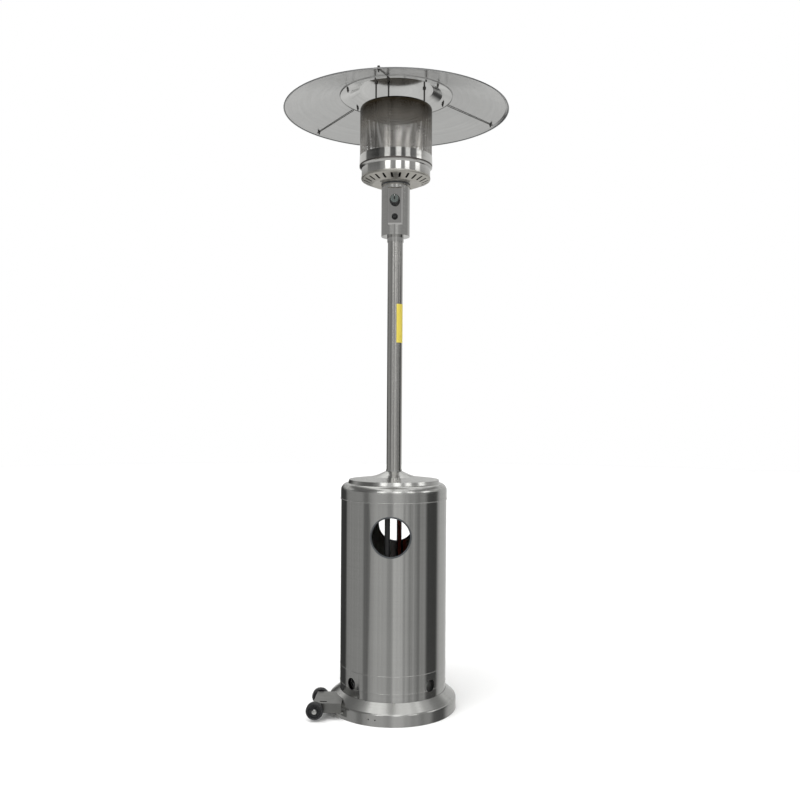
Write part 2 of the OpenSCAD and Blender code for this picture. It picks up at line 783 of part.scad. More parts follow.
// Where the bolts of the reflector's seams and of its centre plate stand
module at_reflector_bolts() {
    for (k = [0:5]) polar(seam_angle + 60 * k, flange_bolt_r, centre_z(flange_bolt_r)) children();
    for (k = [0:2]) polar(seam_angle + 120 * k, seam_bolt_r, panel_z(seam_bolt_r)) children();
}

module reflector_centre() {
    color("silver") difference() {
        pressed(centre_outline);
        for (k = [0:2]) polar(stud_angle + 120 * k, stud_ring_r, z_reflector - cut)
            cylinder(r = stud_r, h = 20);
        at_reflector_bolts() cylinder(r = sheet_bolt_r, h = 30, center = true);
    }
}

// A third of the reflector, with a strip that laps over the next panel
module reflector_panel(k) {
    color("gainsboro") difference() {
        union() {
            rotate(seam_angle + 120 * k + seam_gap / 2) rotate_extrude(angle = 120 - seam_gap)
                polygon(skin(panel_outline, sheet_t));
            rotate(seam_angle + 120 * k - seam_lap / 2) rotate_extrude(angle = seam_lap)
                polygon(skin(shifted(panel_outline, sheet_t), sheet_t));
        }
        at_reflector_bolts() cylinder(r = sheet_bolt_r, h = 30, center = true);
    }
}

module reflector_panel_1() {
    reflector_panel(0);
}

module reflector_panel_2() {
    reflector_panel(1);
}

module reflector_panel_3() {
    reflector_panel(2);
}

module reflector_bolts() {
    drop = 1.4;
    color("dimgray") at_reflector_bolts() {
        translate([0, 0, -11]) cylinder(r = sheet_bolt_r, h = 17);
        translate([0, 0, -drop - 4]) cylinder(r = 4.5, h = 4, $fn = 6);
        translate([0, 0, drop + 3 * sheet_t]) cylinder(r = 4.5, h = 3);
    }
}

module base_form() {
    rotate_extrude() polygon(concat([[0, 0], [base_r, 0]], base_slope, [[0, base_h]]));
}

// The bent bracket that holds the wheel axle beside the base ring
module wheel_bracket() {
    length = flange_rear_y - flange_front_y;
    outer_x = wheel_x - 8;
    reach = -outer_x - base_r + 60;
    color("lightgray") difference() {
        union() {
            translate([outer_x, flange_front_y, z_web]) cube([reach, length, wheel_bracket_t]);
            for (y = [flange_front_y, flange_rear_y - wheel_bracket_t])
                translate([outer_x, y, wheel_z - 11]) cube([reach, wheel_bracket_t, z_web - wheel_z + 11]);
            translate([outer_x, flange_front_y, z_web - 12]) cube([wheel_bracket_t, length, 12]);
            intersection() {
                translate([0, 0, 12]) tube(base_r + wheel_bracket_t, wheel_bracket_t, 26);
                translate([outer_x, flange_front_y, 0]) cube([outer_x + 2 * base_r, length, base_h]);
                translate([-2 * base_r, flange_front_y, 0]) cube([2 * base_r, length, base_h]);
            }
        }
        base_form();
        translate([wheel_x, 0, wheel_z]) rotate([90, 0, 0]) cylinder(r = axle_r, h = 2 * base_r);
        translate([wheel_x + 14, flange_front_y + 14, z_web - cut]) cube([24, 9, wheel_bracket_t + 2 * cut]);
        for (y = [flange_rear_y - 14, flange_front_y + 14])
            translate([-base_r, y, 22]) rotate([0, 90, 0]) cylinder(r = bolt_r, h = 260, center = true);
    }
}

module bracket_bolts() {
    color("gray") for (y = [flange_rear_y - 14, flange_front_y + 14]) {
        face = base_r + wheel_bracket_t;
        x = sqrt(face * face - (y + bolt_head_r) * (y + bolt_head_r));
        translate([-x, y, 22]) rotate([0, 90, 0]) cylinder(r = bolt_r, h = 18);
        translate([-x - bolt_head_h, y, 22]) rotate([0, 90, 0])
            cylinder(r = bolt_head_r, h = bolt_head_h, $fn = 6);
    }
}

module wheel_axle() {
    color("gray") translate([wheel_x, -wheel_rear_y + wheel_w / 2 + 3, wheel_z]) rotate([90, 0, 0])
        cylinder(r = axle_r, h = wheel_spacing + wheel_w + 6);
}

// Domed caps that keep the wheels on the axle
module axle_caps() {
    middle_y = -wheel_rear_y - wheel_spacing / 2;
    out = wheel_spacing / 2 + wheel_w / 2 + 1;
    color("gainsboro") for (side = [1, -1])
        translate([wheel_x, middle_y - side * out, wheel_z])
            rotate([side * 90, 0, 0]) rotate_extrude()
                polygon([[axle_r, 0], [axle_r + 4.5, 0], [axle_r + 4.5, 2], [axle_r + 2, 4], [0, 5], [0, 2],
                    [axle_r, 2]]);
}

module housing_shell() {
    color("silver") difference() {
        union() {
            translate([0, 0, z_shell]) cylinder(r = housing_r, h = shell_h);
            for (h = bead_heights) rotate_extrude()
                translate([housing_r - bead_r / 2, z_shell + h]) circle(r = bead_r, $fn = 16);
        }
        translate([0, 0, z_shell - cut]) cylinder(r = housing_in_r, h = shell_h + 2 * cut);
        translate([0, 0, z_hand_hole]) rotate([90, 0, 0])
            cylinder(r = hand_hole_r + trim_w / 2, h = 3 * housing_r, center = true);
        for (side = [-90, 90]) for (turn = [-vent_turn, vent_turn])
            polar(side + turn, housing_r, z_shell + vent_up) rotate([0, 90, 0])
                cylinder(r = vent_r, h = 60, center = true);
    }
}

module housing_cap() {
    color("silver") pressed(cap_outline);
}

// A rubber edging that follows a hand hole round the curved shell
module hand_hole_trim(side) {
    color("black") difference() {
        intersection() {
            translate([0, 0, z_hand_hole - housing_r / 2])
                tube(housing_r + trim_edge, sheet_t + 2 * trim_edge, housing_r);
            translate([0, 0, z_hand_hole]) rotate([side * 90, 0, 0])
                cylinder(r = hand_hole_r + trim_w, h = 2 * housing_r);
        }
        translate([0, 0, z_hand_hole]) rotate([90, 0, 0])
            cylinder(r = hand_hole_r, h = 4 * housing_r, center = true);
        difference() {
            translate([0, 0, z_shell]) tube(housing_r, sheet_t, shell_h);
            translate([0, 0, z_hand_hole]) rotate([90, 0, 0])
                cylinder(r = hand_hole_r + trim_w / 2, h = 4 * housing_r, center = true);
        }
    }
}

module hand_hole_trim_front() {
    hand_hole_trim(1);
}

module hand_hole_trim_rear() {
    hand_hole_trim(-1);
}

module control_knob() {
    color([0.08, 0.08, 0.08]) difference() {
        union() {
            forward(knob_r, knob_y, knob_y + 6, z_knob);
            forward(knob_r - 1.5, knob_y + 6, knob_y + knob_len, z_knob);
            translate([-2, -knob_y - knob_len - 1, z_knob]) cube([4, 8, knob_r - 3]);
        }
        forward(spindle_r, knob_y - cut, knob_y + knob_len - 5, z_knob);
        difference() {
            forward(knob_r - 4, knob_y - cut, knob_y + knob_len - 5, z_knob);
            forward(spindle_r + 3, knob_y - 2 * cut, knob_y + knob_len, z_knob);
        }
    }
}

module valve_spindle() {
    color("lightgray") forward(spindle_r, 16 + knob_travel + 1, knob_y + knob_len - 5, z_knob);
}

// The collar that carries the spindle's push and doesn't turn with it
module push_collar() {
    color("gray") difference() {
        forward(thrust_r, valve_front_y - collar_t, valve_front_y, z_knob);
        forward(spindle_r + running_fit, valve_front_y - collar_t - cut, valve_front_y + cut, z_knob);
    }
}

module igniter_button() {
    button_y = panel_y + bezel_t + igniter_out;
    color([0.08, 0.08, 0.08]) union() {
        forward(igniter_r, panel_y - 18 + igniter_travel + 1, button_y - 1.5, z_igniter);
        translate([0, -button_y + 1.5, z_igniter]) rotate([90, 0, 0])
            cylinder(r1 = igniter_r, r2 = igniter_r - 1.5, h = 1.5);
    }
}

// A wheel with a hub, a thinner web and a rounded tread, on the axle's line
module wheel(y) {
    half = wheel_w / 2;
    bore = axle_r + running_fit;
    color([0.1, 0.1, 0.1]) translate([wheel_x, y, wheel_z]) rotate([90, 0, 0]) rotate_extrude()
        polygon(concat([[bore, -half - 0.6], [axle_r + 6, -half - 0.6], [axle_r + 7, -4], [wheel_r - 7, -4],
            [wheel_r - 6, -half]], arc([wheel_r - 3, -half + 3], 3, -90, 0, 4),
            arc([wheel_r - 3, half - 3], 3, 0, 90, 4), [[wheel_r - 6, half], [wheel_r - 7, 4],
            [axle_r + 7, 4], [axle_r + 6, half + 0.6], [bore, half + 0.6]]));
}

module wheel_front() {
    wheel(wheel_front_y);
}

module wheel_rear() {
    wheel(-wheel_rear_y);
}

// A scalloped handwheel with a dished top and a stem in the valve body
module valve_handwheel() {
    low = moving_gap + 2;
    high = handwheel_h - 2;
    color("firebrick") translate([0, 0, z_bottle_top + boss_h + valve_body_h]) difference() {
        rotate_extrude() polygon([[0, -12], [handwheel_stem_r, -12], [handwheel_stem_r, low],
            [handwheel_r - 2, low], [handwheel_r, low + 2], [handwheel_r, high - 2], [handwheel_r - 2, high],
            [handwheel_r - 10, high], [handwheel_r - 13, high - 5], [0, high - 5]]);
        for (k = [0:5]) polar(60 * k + 10, handwheel_r + 3) cylinder(r = 7, h = handwheel_h);
    }
}

base_ring();
base_plate();
leg_front();
leg_rear();
leg_side();
frame_bolts();
post_bracket();
post();
post_label();
post_collar();
gas_bottle();
bottle_foot_ring();
bottle_collar();
bottle_valve();
hose_nut();
regulator();
gas_hose();
control_housing();
control_panel();
valve_bracket();
gas_valve();
gas_pipe();
tilt_switch();
igniter_body();
pilot_tube();
pilot_burner();
thermocouple();
spark_electrode();
burner_head();
burner_plate();
burner_dish();
dish_screws();
lower_band();
upper_band();
emitter_screen();
emitter_top();
reflector_studs();
stud_nuts();
reflector_centre();
reflector_panel_1();
reflector_panel_2();
reflector_panel_3();
reflector_bolts();
wheel_bracket();
bracket_bolts();
wheel_axle();
axle_caps();
housing_shell();
housing_cap();
hand_hole_trim_front();
hand_hole_trim_rear();
control_knob();
valve_spindle();
push_collar();
igniter_button();
wheel_front();
wheel_rear();
valve_handwheel();
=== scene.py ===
"""Looks of the outdoor gas heater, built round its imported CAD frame. Metres, +Z up, the knob faces -Y."""

import logging
import math
from collections.abc import Callable, Iterator, Sequence
from contextlib import contextmanager
from dataclasses import dataclass, field
from enum import Enum

import bpy
from mathutils import Matrix, Vector


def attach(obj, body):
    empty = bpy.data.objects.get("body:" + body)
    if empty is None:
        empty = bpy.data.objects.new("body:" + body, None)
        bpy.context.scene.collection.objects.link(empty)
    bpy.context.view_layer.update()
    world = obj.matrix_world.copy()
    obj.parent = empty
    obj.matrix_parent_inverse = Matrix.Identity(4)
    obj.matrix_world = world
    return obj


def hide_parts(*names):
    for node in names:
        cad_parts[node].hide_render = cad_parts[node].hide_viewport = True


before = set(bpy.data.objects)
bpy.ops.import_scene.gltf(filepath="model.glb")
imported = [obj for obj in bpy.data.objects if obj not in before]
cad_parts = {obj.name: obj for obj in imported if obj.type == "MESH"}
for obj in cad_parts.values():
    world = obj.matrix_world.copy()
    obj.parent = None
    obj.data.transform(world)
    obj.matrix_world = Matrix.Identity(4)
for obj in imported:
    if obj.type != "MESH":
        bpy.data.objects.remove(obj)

log = logging.getLogger("outdoor_heater")
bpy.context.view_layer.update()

Colour = tuple[float, float, float]
Point = tuple[float, float, float]
Outline = Sequence[tuple[float, float]]
WHITE: Colour = (1.0, 1.0, 1.0)


class Body(Enum):
    """The CAD bodies that pieces ride on."""

    STAND = "stand"
    HOUSING = "tank_housing"
    KNOB = "knob"
    IGNITER = "igniter"
    FRONT_WHEEL = "front_wheel"
    REAR_WHEEL = "rear_wheel"


class Grain(Enum):
    """Which way the fine lines of a metal run."""

    ROUND = "round the axis"
    UPRIGHT = "along the axis"
    OUTWARD = "away from the axis"
    ACROSS = "along X"


# ---------------------------------------------------------------- materials


class Nodes:
    """The nodes of one material or world."""

    def __init__(self, tree: bpy.types.NodeTree) -> None:
        """Works on that node tree."""
        self.tree = tree

    def node(self, kind: str, **settings: object) -> bpy.types.Node:
        """Adds a node of that kind with those settings."""
        made = self.tree.nodes.new(kind)
        for key, value in settings.items():
            setattr(made, key, value)
        return made

    def join(self, source: object, target: bpy.types.NodeSocket) -> None:
        """Links a socket to an input, or sets a plain value on it."""
        if isinstance(source, bpy.types.NodeSocket):
            self.tree.links.new(source, target)
        else:
            target.default_value = source

    def maths(self, operation: str, first: object, second: object = 0.0) -> bpy.types.NodeSocket:
        """The result of one Math node."""
        made = self.node("ShaderNodeMath", operation=operation)
        self.join(first, made.inputs[0])
        self.join(second, made.inputs[1])
        return made.outputs[0]

    def span(
        self, value: object, low: float, high: float, start: float = 0.0, end: float = 1.0,
        kind: str = "LINEAR",
    ) -> bpy.types.NodeSocket:
        """A value between low and high, spread from start to end and held there."""
        made = self.node("ShaderNodeMapRange", interpolation_type=kind)
        self.join(value, made.inputs["Value"])
        for name, number in zip(("From Min", "From Max", "To Min", "To Max"), (low, high, start, end)):
            made.inputs[name].default_value = number
        return made.outputs["Result"]

    def ramp(self, value: object, stops: Sequence[tuple[float, Colour]]) -> bpy.types.NodeSocket:
        """A colour for each value from 0 to 1."""
        made = self.node("ShaderNodeValToRGB")
        self.join(value, made.inputs["Fac"])
        fill_ramp(made.color_ramp, stops)
        return made.outputs["Color"]


class Graph(Nodes):
    """The nodes of one material."""

    def __init__(self, name: str) -> None:
        """Starts a material with its Principled shader and Object coordinates."""
        self.material = bpy.data.materials.new(name)
        self.material.use_nodes = True
        super().__init__(self.material.node_tree)
        self.shader = self.tree.nodes["Principled BSDF"]
        self.place = self.node("ShaderNodeTexCoord").outputs["Object"]

    def axes(self) -> list[bpy.types.NodeSocket]:
        """X, Y and Z of the place on the piece."""
        made = self.node("ShaderNodeSeparateXYZ")
        self.join(self.place, made.inputs[0])
        return list(made.outputs)

    def vector(self, x: object, y: object, z: object) -> bpy.types.NodeSocket:
        """Three values as one vector."""
        made = self.node("ShaderNodeCombineXYZ")
        for value, socket in zip((x, y, z), made.inputs):
            self.join(value, socket)
        return made.outputs[0]

    def scaled(self, scale: Point) -> bpy.types.NodeSocket:
        """The place on the piece, stretched."""
        made = self.node("ShaderNodeMapping")
        self.join(self.place, made.inputs["Vector"])
        made.inputs["Scale"].default_value = scale
        return made.outputs[0]

    def noise(
        self, vector: object, scale: float, detail: float = 4.0, rough: float = 0.55
    ) -> bpy.types.NodeSocket:
        """Soft noise from 0 to 1."""
        made = self.node("ShaderNodeTexNoise")
        self.join(vector, made.inputs["Vector"])
        made.inputs["Scale"].default_value = scale
        made.inputs["Detail"].default_value = detail
        made.inputs["Roughness"].default_value = rough
        return made.outputs["Fac"]

    def mix(self, share: object, first: object, second: object, how: str = "MIX") -> bpy.types.NodeSocket:
        """Two colours mixed by a share."""
        made = self.node("ShaderNodeMix", data_type="RGBA", blend_type=how)
        colours = [s for s in made.inputs if s.type == "RGBA"]
        self.join(share, made.inputs["Factor"])
        for colour, socket in zip((first, second), colours):
            self.join(colour if isinstance(colour, bpy.types.NodeSocket) else (*colour, 1.0), socket)
        return next(s for s in made.outputs if s.type == "RGBA")

    def bump(
        self, height: bpy.types.NodeSocket, depth: float, below: bpy.types.NodeSocket | None = None
    ) -> bpy.types.NodeSocket:
        """A normal that follows a height of that depth in metres."""
        made = self.node("ShaderNodeBump")
        made.inputs["Strength"].default_value = 1.0
        made.inputs["Distance"].default_value = depth
        self.join(height, made.inputs["Height"])
        if below is not None:
            self.join(below, made.inputs["Normal"])
        return made.outputs["Normal"]

    def set(self, **values: object) -> None:
        """Sets or links the shader's inputs by name, with _ for a space."""
        for name, value in values.items():
            target = self.shader.inputs[name.replace("_", " ")]
            if target.type == "RGBA" and isinstance(value, tuple) and len(value) == 3:
                value = (*value, 1.0)
            self.join(value, target)


def fill_ramp(ramp: bpy.types.ColorRamp, stops: Sequence[tuple[float, Colour]]) -> None:
    """Gives a colour ramp these stops.

    Args:
        ramp: The ramp to fill.
        stops: Place from 0 to 1 and colour of each stop, in rising order.
    """
    while len(ramp.elements) < len(stops):
        ramp.elements.new(1.0)
    for element, (place, colour) in zip(ramp.elements, stops):
        element.position = place
        element.color = (*colour, 1.0)


def shade(colour: Colour, share: float) -> Colour:
    """A colour made lighter or darker by a share."""
    return tuple(min(1.0, c * share) for c in colour)


@dataclass(frozen=True)
class Metal:
    """A bare metal with fine grain, faint stains and handling marks."""

    name: str
    colour: Colour
    roughness: float
    grain: Grain
    grain_depth: float = 0.00001
    grain_scale: float = 900.0
    stretch: float = 0.0
    stain: float = 0.12
    wave: float = 0.0
    wear: float = 0.3

    def lines(self, graph: Graph) -> bpy.types.NodeSocket:
        """The grain of the metal as a value from 0 to 1."""
        x, y, z = graph.axes()
        fine, long = self.grain_scale, 5.0
        if self.grain is Grain.ACROSS:
            return graph.noise(graph.scaled((long, fine, fine)), 1.0, 3.0)
        if self.grain is Grain.UPRIGHT:
            return graph.noise(graph.scaled((fine, fine, long)), 1.0, 3.0)
        squares = graph.maths("ADD", graph.maths("MULTIPLY", x, x), graph.maths("MULTIPLY", y, y))
        radius = graph.maths("POWER", squares, 0.5)
        if self.grain is Grain.ROUND:
            pairs = ((radius, fine), (y, long), (z, fine))
            place = graph.vector(*(graph.maths("MULTIPLY", value, scale) for value, scale in pairs))
            return graph.noise(place, 1.0, 3.0)
        turn = graph.maths("MULTIPLY", graph.maths("ARCTAN2", y, x), fine * 0.3)
        return graph.noise(graph.vector(turn, graph.maths("MULTIPLY", radius, long), 0.0), 1.0, 3.0)

    def tint(self, graph: Graph, lines: bpy.types.NodeSocket) -> bpy.types.NodeSocket:
        """The colour of the metal, with faint stains and darker grain.

        Args:
            graph: The material's nodes.
            lines: The grain, from 0 to 1.

        Returns:
            The colour's socket.
        """
        cloud = graph.noise(graph.place, 7.0, 5.0, 0.6)
        dark, light = shade(self.colour, 1.0 - self.stain), shade(self.colour, 1.0 + 0.35 * self.stain)
        stained = graph.mix(graph.span(cloud, 0.3, 0.7), dark, light)
        return graph.mix(graph.span(lines, 0.25, 0.75, 0.0, 0.3), stained, shade(self.colour, 0.72))

    def build(self) -> bpy.types.Material:
        """The finished material."""
        graph = Graph(self.name)
        lines = self.lines(graph)
        tint = self.tint(graph, lines)
        marks = graph.noise(graph.scaled((40.0, 40.0, 23.0)), 1.0, 6.0, 0.7)
        low, high = self.roughness * (1.0 - 0.6 * self.wear), self.roughness * (1.0 + self.wear)
        gloss = graph.maths(
            "ADD", graph.span(marks, 0.35, 0.75, low, high),
            graph.span(lines, 0.3, 0.8, 0.0, self.roughness * 0.2),
        )
        normal = graph.bump(lines, self.grain_depth)
        if self.wave:
            normal = graph.bump(graph.noise(graph.place, 9.0, 2.0), self.wave, normal)
        graph.set(Base_Color=tint, Metallic=1.0, Roughness=gloss, Normal=normal)
        if self.stretch:
            tangent = graph.node("ShaderNodeTangent", direction_type="RADIAL", axis="Z")
            graph.set(Anisotropic=self.stretch, Anisotropic_Rotation=0.25, Tangent=tangent.outputs[0])
        return graph.material


@dataclass(frozen=True)
class HeatedMetal(Metal):
    """A metal that heat has tinted from a height upwards."""

    cool_z: float = 0.0
    hot_z: float = 1.0
    warm: Colour = (0.3, 0.24, 0.16)
    burnt: Colour = (0.1, 0.09, 0.07)

    def tint(self, graph: Graph, lines: bpy.types.NodeSocket) -> bpy.types.NodeSocket:
        """The metal's own colour, turning warm and then burnt with height.

        Args:
            graph: The material's nodes.
            lines: The grain, from 0 to 1.

        Returns:
            The colour's socket.
        """
        height = graph.axes()[2]
        wander = graph.noise(graph.scaled((26.0, 26.0, 9.0)), 1.0, 4.0)
        reach = graph.maths(
            "ADD", graph.span(height, self.cool_z, self.hot_z), graph.span(wander, 0.2, 0.8, -0.12, 0.12)
        )
        share = graph.ramp(reach, ((0.0, (0.0,) * 3), (0.45, (0.35,) * 3), (1.0, WHITE)))
        heat = graph.ramp(
            reach,
            ((0.0, self.colour), (0.35, self.warm), (0.75, self.burnt), (1.0, shade(self.burnt, 0.8))),
        )
        return graph.mix(share, super().tint(graph, lines), heat)


@dataclass(frozen=True)
class Coat:
    """A paint, plastic, rubber or film: one colour with its own fine texture."""

    name: str
    colour: Colour
    roughness: float
    texture_scale: float
    texture_depth: float
    mottle: float = 0.12
    clear: float = 0.0
    dust: float = 0.0

    def build(self) -> bpy.types.Material:
        """The finished material."""
        graph = Graph(self.name)
        skin = graph.noise(graph.place, self.texture_scale, 3.0)
        cloud = graph.noise(graph.place, 11.0, 5.0, 0.6)
        tint = graph.mix(
            graph.span(cloud, 0.3, 0.7), shade(self.colour, 1 - self.mottle),
            shade(self.colour, 1 + self.mottle),
        )
        if self.dust:
            specks = graph.span(graph.noise(graph.place, 60.0, 8.0, 0.75), 0.5, 0.75, 0.0, self.dust)
            tint = graph.mix(specks, tint, (0.35, 0.33, 0.3))
        gloss = graph.span(
            graph.noise(graph.place, 35.0, 4.0), 0.3, 0.7, self.roughness * 0.85, self.roughness * 1.2
        )
        graph.set(Base_Color=tint, Roughness=gloss, Normal=graph.bump(skin, self.texture_depth))
        if self.clear:
            graph.set(Coat_Weight=self.clear, Coat_Roughness=0.12)
        return graph.material


BRUSHED = Metal(
    "brushed_stainless", (0.70, 0.70, 0.685), 0.14, Grain.ROUND, 0.0000015, 500.0, 0.75, 0.03, 0.0, 0.08
)
SATIN = Metal(
    "satin_stainless", (0.70, 0.70, 0.685), 0.2, Grain.ROUND, 0.000001, 500.0, 0.35, 0.03, 0.0, 0.04
)
POLISHED = Metal("polished_stainless", (0.72, 0.715, 0.70), 0.07, Grain.ROUND, 0.000001, 400.0, 0.0, 0.06)
DISH_STEEL = Metal("dish_stainless", (0.72, 0.70, 0.65), 0.36, Grain.ROUND, 0.000004, 500.0, 0.0, 0.06)
SATIN_POST = Metal(
    "satin_post", (0.70, 0.69, 0.67), 0.17, Grain.ROUND, 0.000002, 900.0, 0.8, 0.05, 0.0, 0.15
)
PANEL_STEEL = Metal("panel_stainless", (0.72, 0.71, 0.70), 0.07, Grain.UPRIGHT, 0.000003, 900.0, 0.0, 0.08)
REFLECTOR = Metal(
    "reflector_aluminium", (0.78, 0.78, 0.775), 0.19, Grain.ROUND, 0.000001, 120.0, 0.0, 0.04, 0.0001
)
REFLECTOR_CENTRE = Metal(
    "reflector_centre_aluminium", (0.84, 0.84, 0.83), 0.09, Grain.ROUND, 0.000001, 120.0, 0.0, 0.04, 0.00006
)
EMITTER = HeatedMetal(
    "emitter_steel", (0.60, 0.58, 0.55), 0.22, Grain.UPRIGHT, 0.000006, 500.0, 0.0, 0.16,
    cool_z=2.05, hot_z=2.15, warm=(0.25, 0.19, 0.12), burnt=(0.075, 0.058, 0.036),
)
BURNER = HeatedMetal(
    "burner_steel", (0.22, 0.21, 0.2), 0.42, Grain.ROUND, 0.00002, 300.0, 0.0, 0.3,
    cool_z=1.93, hot_z=2.02, warm=(0.16, 0.12, 0.12), burnt=(0.07, 0.07, 0.09),
)
BRASS = Metal("brass", (0.72, 0.53, 0.22), 0.24, Grain.ROUND, 0.00001, 900.0)
ZINC = Metal("zinc_steel", (0.55, 0.55, 0.53), 0.32, Grain.OUTWARD, 0.00001, 300.0, 0.0, 0.25)
# Dark zinc for the studs, nuts and bolts; the same dark colour also serves as painted shade on the strips
# under the reflector seams.
DARK_ZINC_AND_SEAM_SHADE = Metal("dark_zinc", (0.17, 0.165, 0.16), 0.36, Grain.OUTWARD, 0.00001, 300.0, 0.0, 0.3)
ALLOY = Metal("regulator_alloy", (0.42, 0.43, 0.45), 0.45, Grain.ACROSS, 0.00003, 120.0, 0.0, 0.2)
# Painted shade: the hem's dark grey stands for the dark shadow line along the reflector's folded rim, which
# is the same aluminium as the panels.
HEM_PAINTED_SHADE = Metal("hem_painted_shade", (0.26, 0.27, 0.28), 0.3, Grain.ROUND, 0.000004, 400.0)
BRACKET = Metal("bracket_steel", (0.32, 0.32, 0.31), 0.34, Grain.ACROSS, 0.00001, 400.0, 0.0, 0.2)
FRAME_PAINT = Coat("frame_paint", (0.007, 0.007, 0.008), 0.5, 900.0, 0.00004, 0.2, 0.0, 0.03)
BASE_PAINT = Coat("base_paint", (0.18, 0.18, 0.185), 0.45, 700.0, 0.00004, 0.15, 0.0, 0.15)
BOTTLE_PAINT = Coat("bottle_paint", (0.66, 0.67, 0.66), 0.3, 350.0, 0.00006, 0.05, 0.25, 0.08)
HOSE_RUBBER = Coat("hose_rubber", (0.42, 0.06, 0.025), 0.42, 500.0, 0.00004, 0.12)
TRIM_RUBBER = Coat("trim_rubber", (0.05, 0.055, 0.06), 0.32, 900.0, 0.00003, 0.15, 0.0, 0.08)
# Painted light: the knob face's grey is the same black plastic as the knob, lightened where light falls on
# its front face.
KNOB_FACE_PAINTED_LIGHT = Coat("knob_face_painted_light", (0.085, 0.1, 0.095), 0.4, 1500.0, 0.00002, 0.1)
KNOB_PLASTIC = Coat("knob_plastic", (0.008, 0.009, 0.009), 0.32, 1800.0, 0.00003, 0.15, 0.0, 0.05)
WHEEL_PLASTIC = Coat("wheel_plastic", (0.018, 0.018, 0.02), 0.42, 1200.0, 0.00004, 0.2, 0.0, 0.12)
HANDWHEEL_PLASTIC = Coat("handwheel_plastic", (0.42, 0.03, 0.025), 0.4, 1000.0, 0.00004)
LABEL_FILM = Coat("label_film", (0.66, 0.54, 0.08), 0.5, 160.0, 0.00006, 0.06, 0.3)
CERAMIC = Coat("ceramic", (0.84, 0.83, 0.79), 0.16, 500.0, 0.00002, 0.04, 0.5)
POINTER_PAINT = Coat("pointer_paint", (0.75, 0.75, 0.73), 0.5, 1500.0, 0.00002, 0.04)


# ------------------------------------------------------------------ modelling


def clear() -> None:
    """Deselects every object."""
    bpy.ops.object.select_all(action="DESELECT")


def only(piece: bpy.types.Object) -> bpy.types.Object:
    """Makes one object the selected and active one, and gives it back."""
    clear()
    piece.select_set(True)
    bpy.context.view_layer.objects.active = piece
    return piece


@contextmanager
def editing(piece: bpy.types.Object, select: str = "SELECT") -> Iterator[None]:
    """Edit mode on one piece, with all of it or none of it selected, or KEEP for as it was."""
    only(piece)
    bpy.ops.object.mode_set(mode="EDIT")
    if select != "KEEP":
        bpy.ops.mesh.select_mode(type="VERT")
        bpy.ops.mesh.select_all(action=select)
    yield
    bpy.ops.object.mode_set(mode="OBJECT")


def pick(piece: bpy.types.Object, test: Callable[[bpy.types.MeshPolygon], bool]) -> None:
    """Selects just the faces that pass the test, for the next stay in edit mode."""
    mesh = piece.data
    for part in (mesh.vertices, mesh.edges):
        part.foreach_set("select", [False] * len(part))
    for face in mesh.polygons:
        face.select = bool(test(face))
    bpy.context.tool_settings.mesh_select_mode = (False, False, True)


def named(name: str) -> bpy.types.Object:
    """Gives the new active object, and its mesh, a name."""
    piece = bpy.context.active_object
    piece.name = name
    piece.data.name = name
    return piece


def settle(piece: bpy.types.Object) -> bpy.types.Object:
    """Applies modifiers and placing, so that the object sits at the origin."""
    only(piece)
    for modifier in list(piece.modifiers):
        bpy.ops.object.modifier_apply(modifier=modifier.name)
    bpy.ops.object.transform_apply(location=True, rotation=True, scale=True)
    return piece


def tidy(piece: bpy.types.Object, distance: float = 0.00002) -> bpy.types.Object:
    """Merges doubles and turns the faces outwards."""
    with editing(piece):
        bpy.ops.mesh.remove_doubles(threshold=distance)
        bpy.ops.mesh.normals_make_consistent(inside=False)
    return piece


def smooth(piece: bpy.types.Object, angle: float = 35.0) -> bpy.types.Object:
    """Shades smooth, with edges kept above an angle in degrees."""
    only(piece)
    bpy.ops.object.shade_smooth_by_angle(angle=math.radians(angle))
    return piece


def united(name: str, parts: Sequence[bpy.types.Object]) -> bpy.types.Object:
    """Joins parts into one piece with that name."""
    clear()
    for part in parts:
        part.select_set(True)
    bpy.context.view_layer.objects.active = parts[0]
    if len(parts) > 1:
        bpy.ops.object.join()
    return named(name)


def drawn(name: str, points: Sequence[Point]) -> bpy.types.Object:
    """A line of edges through points, extruded from one vertex.

    Args:
        name: Name of the new object.
        points: The line's corners, in metres.

    Returns:
        The new object, with only edges.
    """
    clear()
    bpy.ops.mesh.primitive_plane_add(size=0.001, location=points[0])
    piece = settle(named(name))
    with editing(piece):
        bpy.ops.mesh.merge(type="CENTER")
        for before, after in zip(points, points[1:]):
            step = tuple(b - a for a, b in zip(before, after))
            bpy.ops.mesh.extrude_region_move(TRANSFORM_OT_translate={"value": step})
    return piece


def turned(name: str, outline: Outline, steps: int = 96, closed: bool = True) -> bpy.types.Object:
    """A surface of revolution about the Z axis.

    Args:
        name: Name of the new object.
        outline: Radius and height of each corner.
        steps: Number of steps round.
        closed: Whether the outline's end joins its start.

    Returns:
        The new object, merged and with its faces outwards.
    """
    points = [(r, 0.0, z) for r, z in outline]
    piece = drawn(name, points + points[:1] if closed else points)
    with editing(piece):
        bpy.ops.mesh.spin(steps=steps, angle=math.tau, center=(0, 0, 0), axis=(0, 0, 1))
    return tidy(piece)


def bead(name: str, radius: float, z: float, thick: float, sides: int = 8) -> bpy.types.Object:
    """A smooth round bead about the Z axis.

    Args:
        name: Name of the new object.
        radius: Radius of the bead's middle line.
        z: Height of the middle line.
        thick: Radius of the bead's section.
        sides: Corners of the section.

    Returns:
        The new object.
    """
    turns = [math.tau * k / sides for k in range(sides)]
    outline = [(radius + thick * math.cos(a), z + thick * math.sin(a)) for a in turns]
    return smooth(turned(name, outline, 144), 60.0)


def dress(piece: bpy.types.Object, material: bpy.types.Material) -> bpy.types.Object:
    """Gives a piece one material all over."""
    piece.data.materials.clear()
    piece.data.materials.append(material)
    return piece


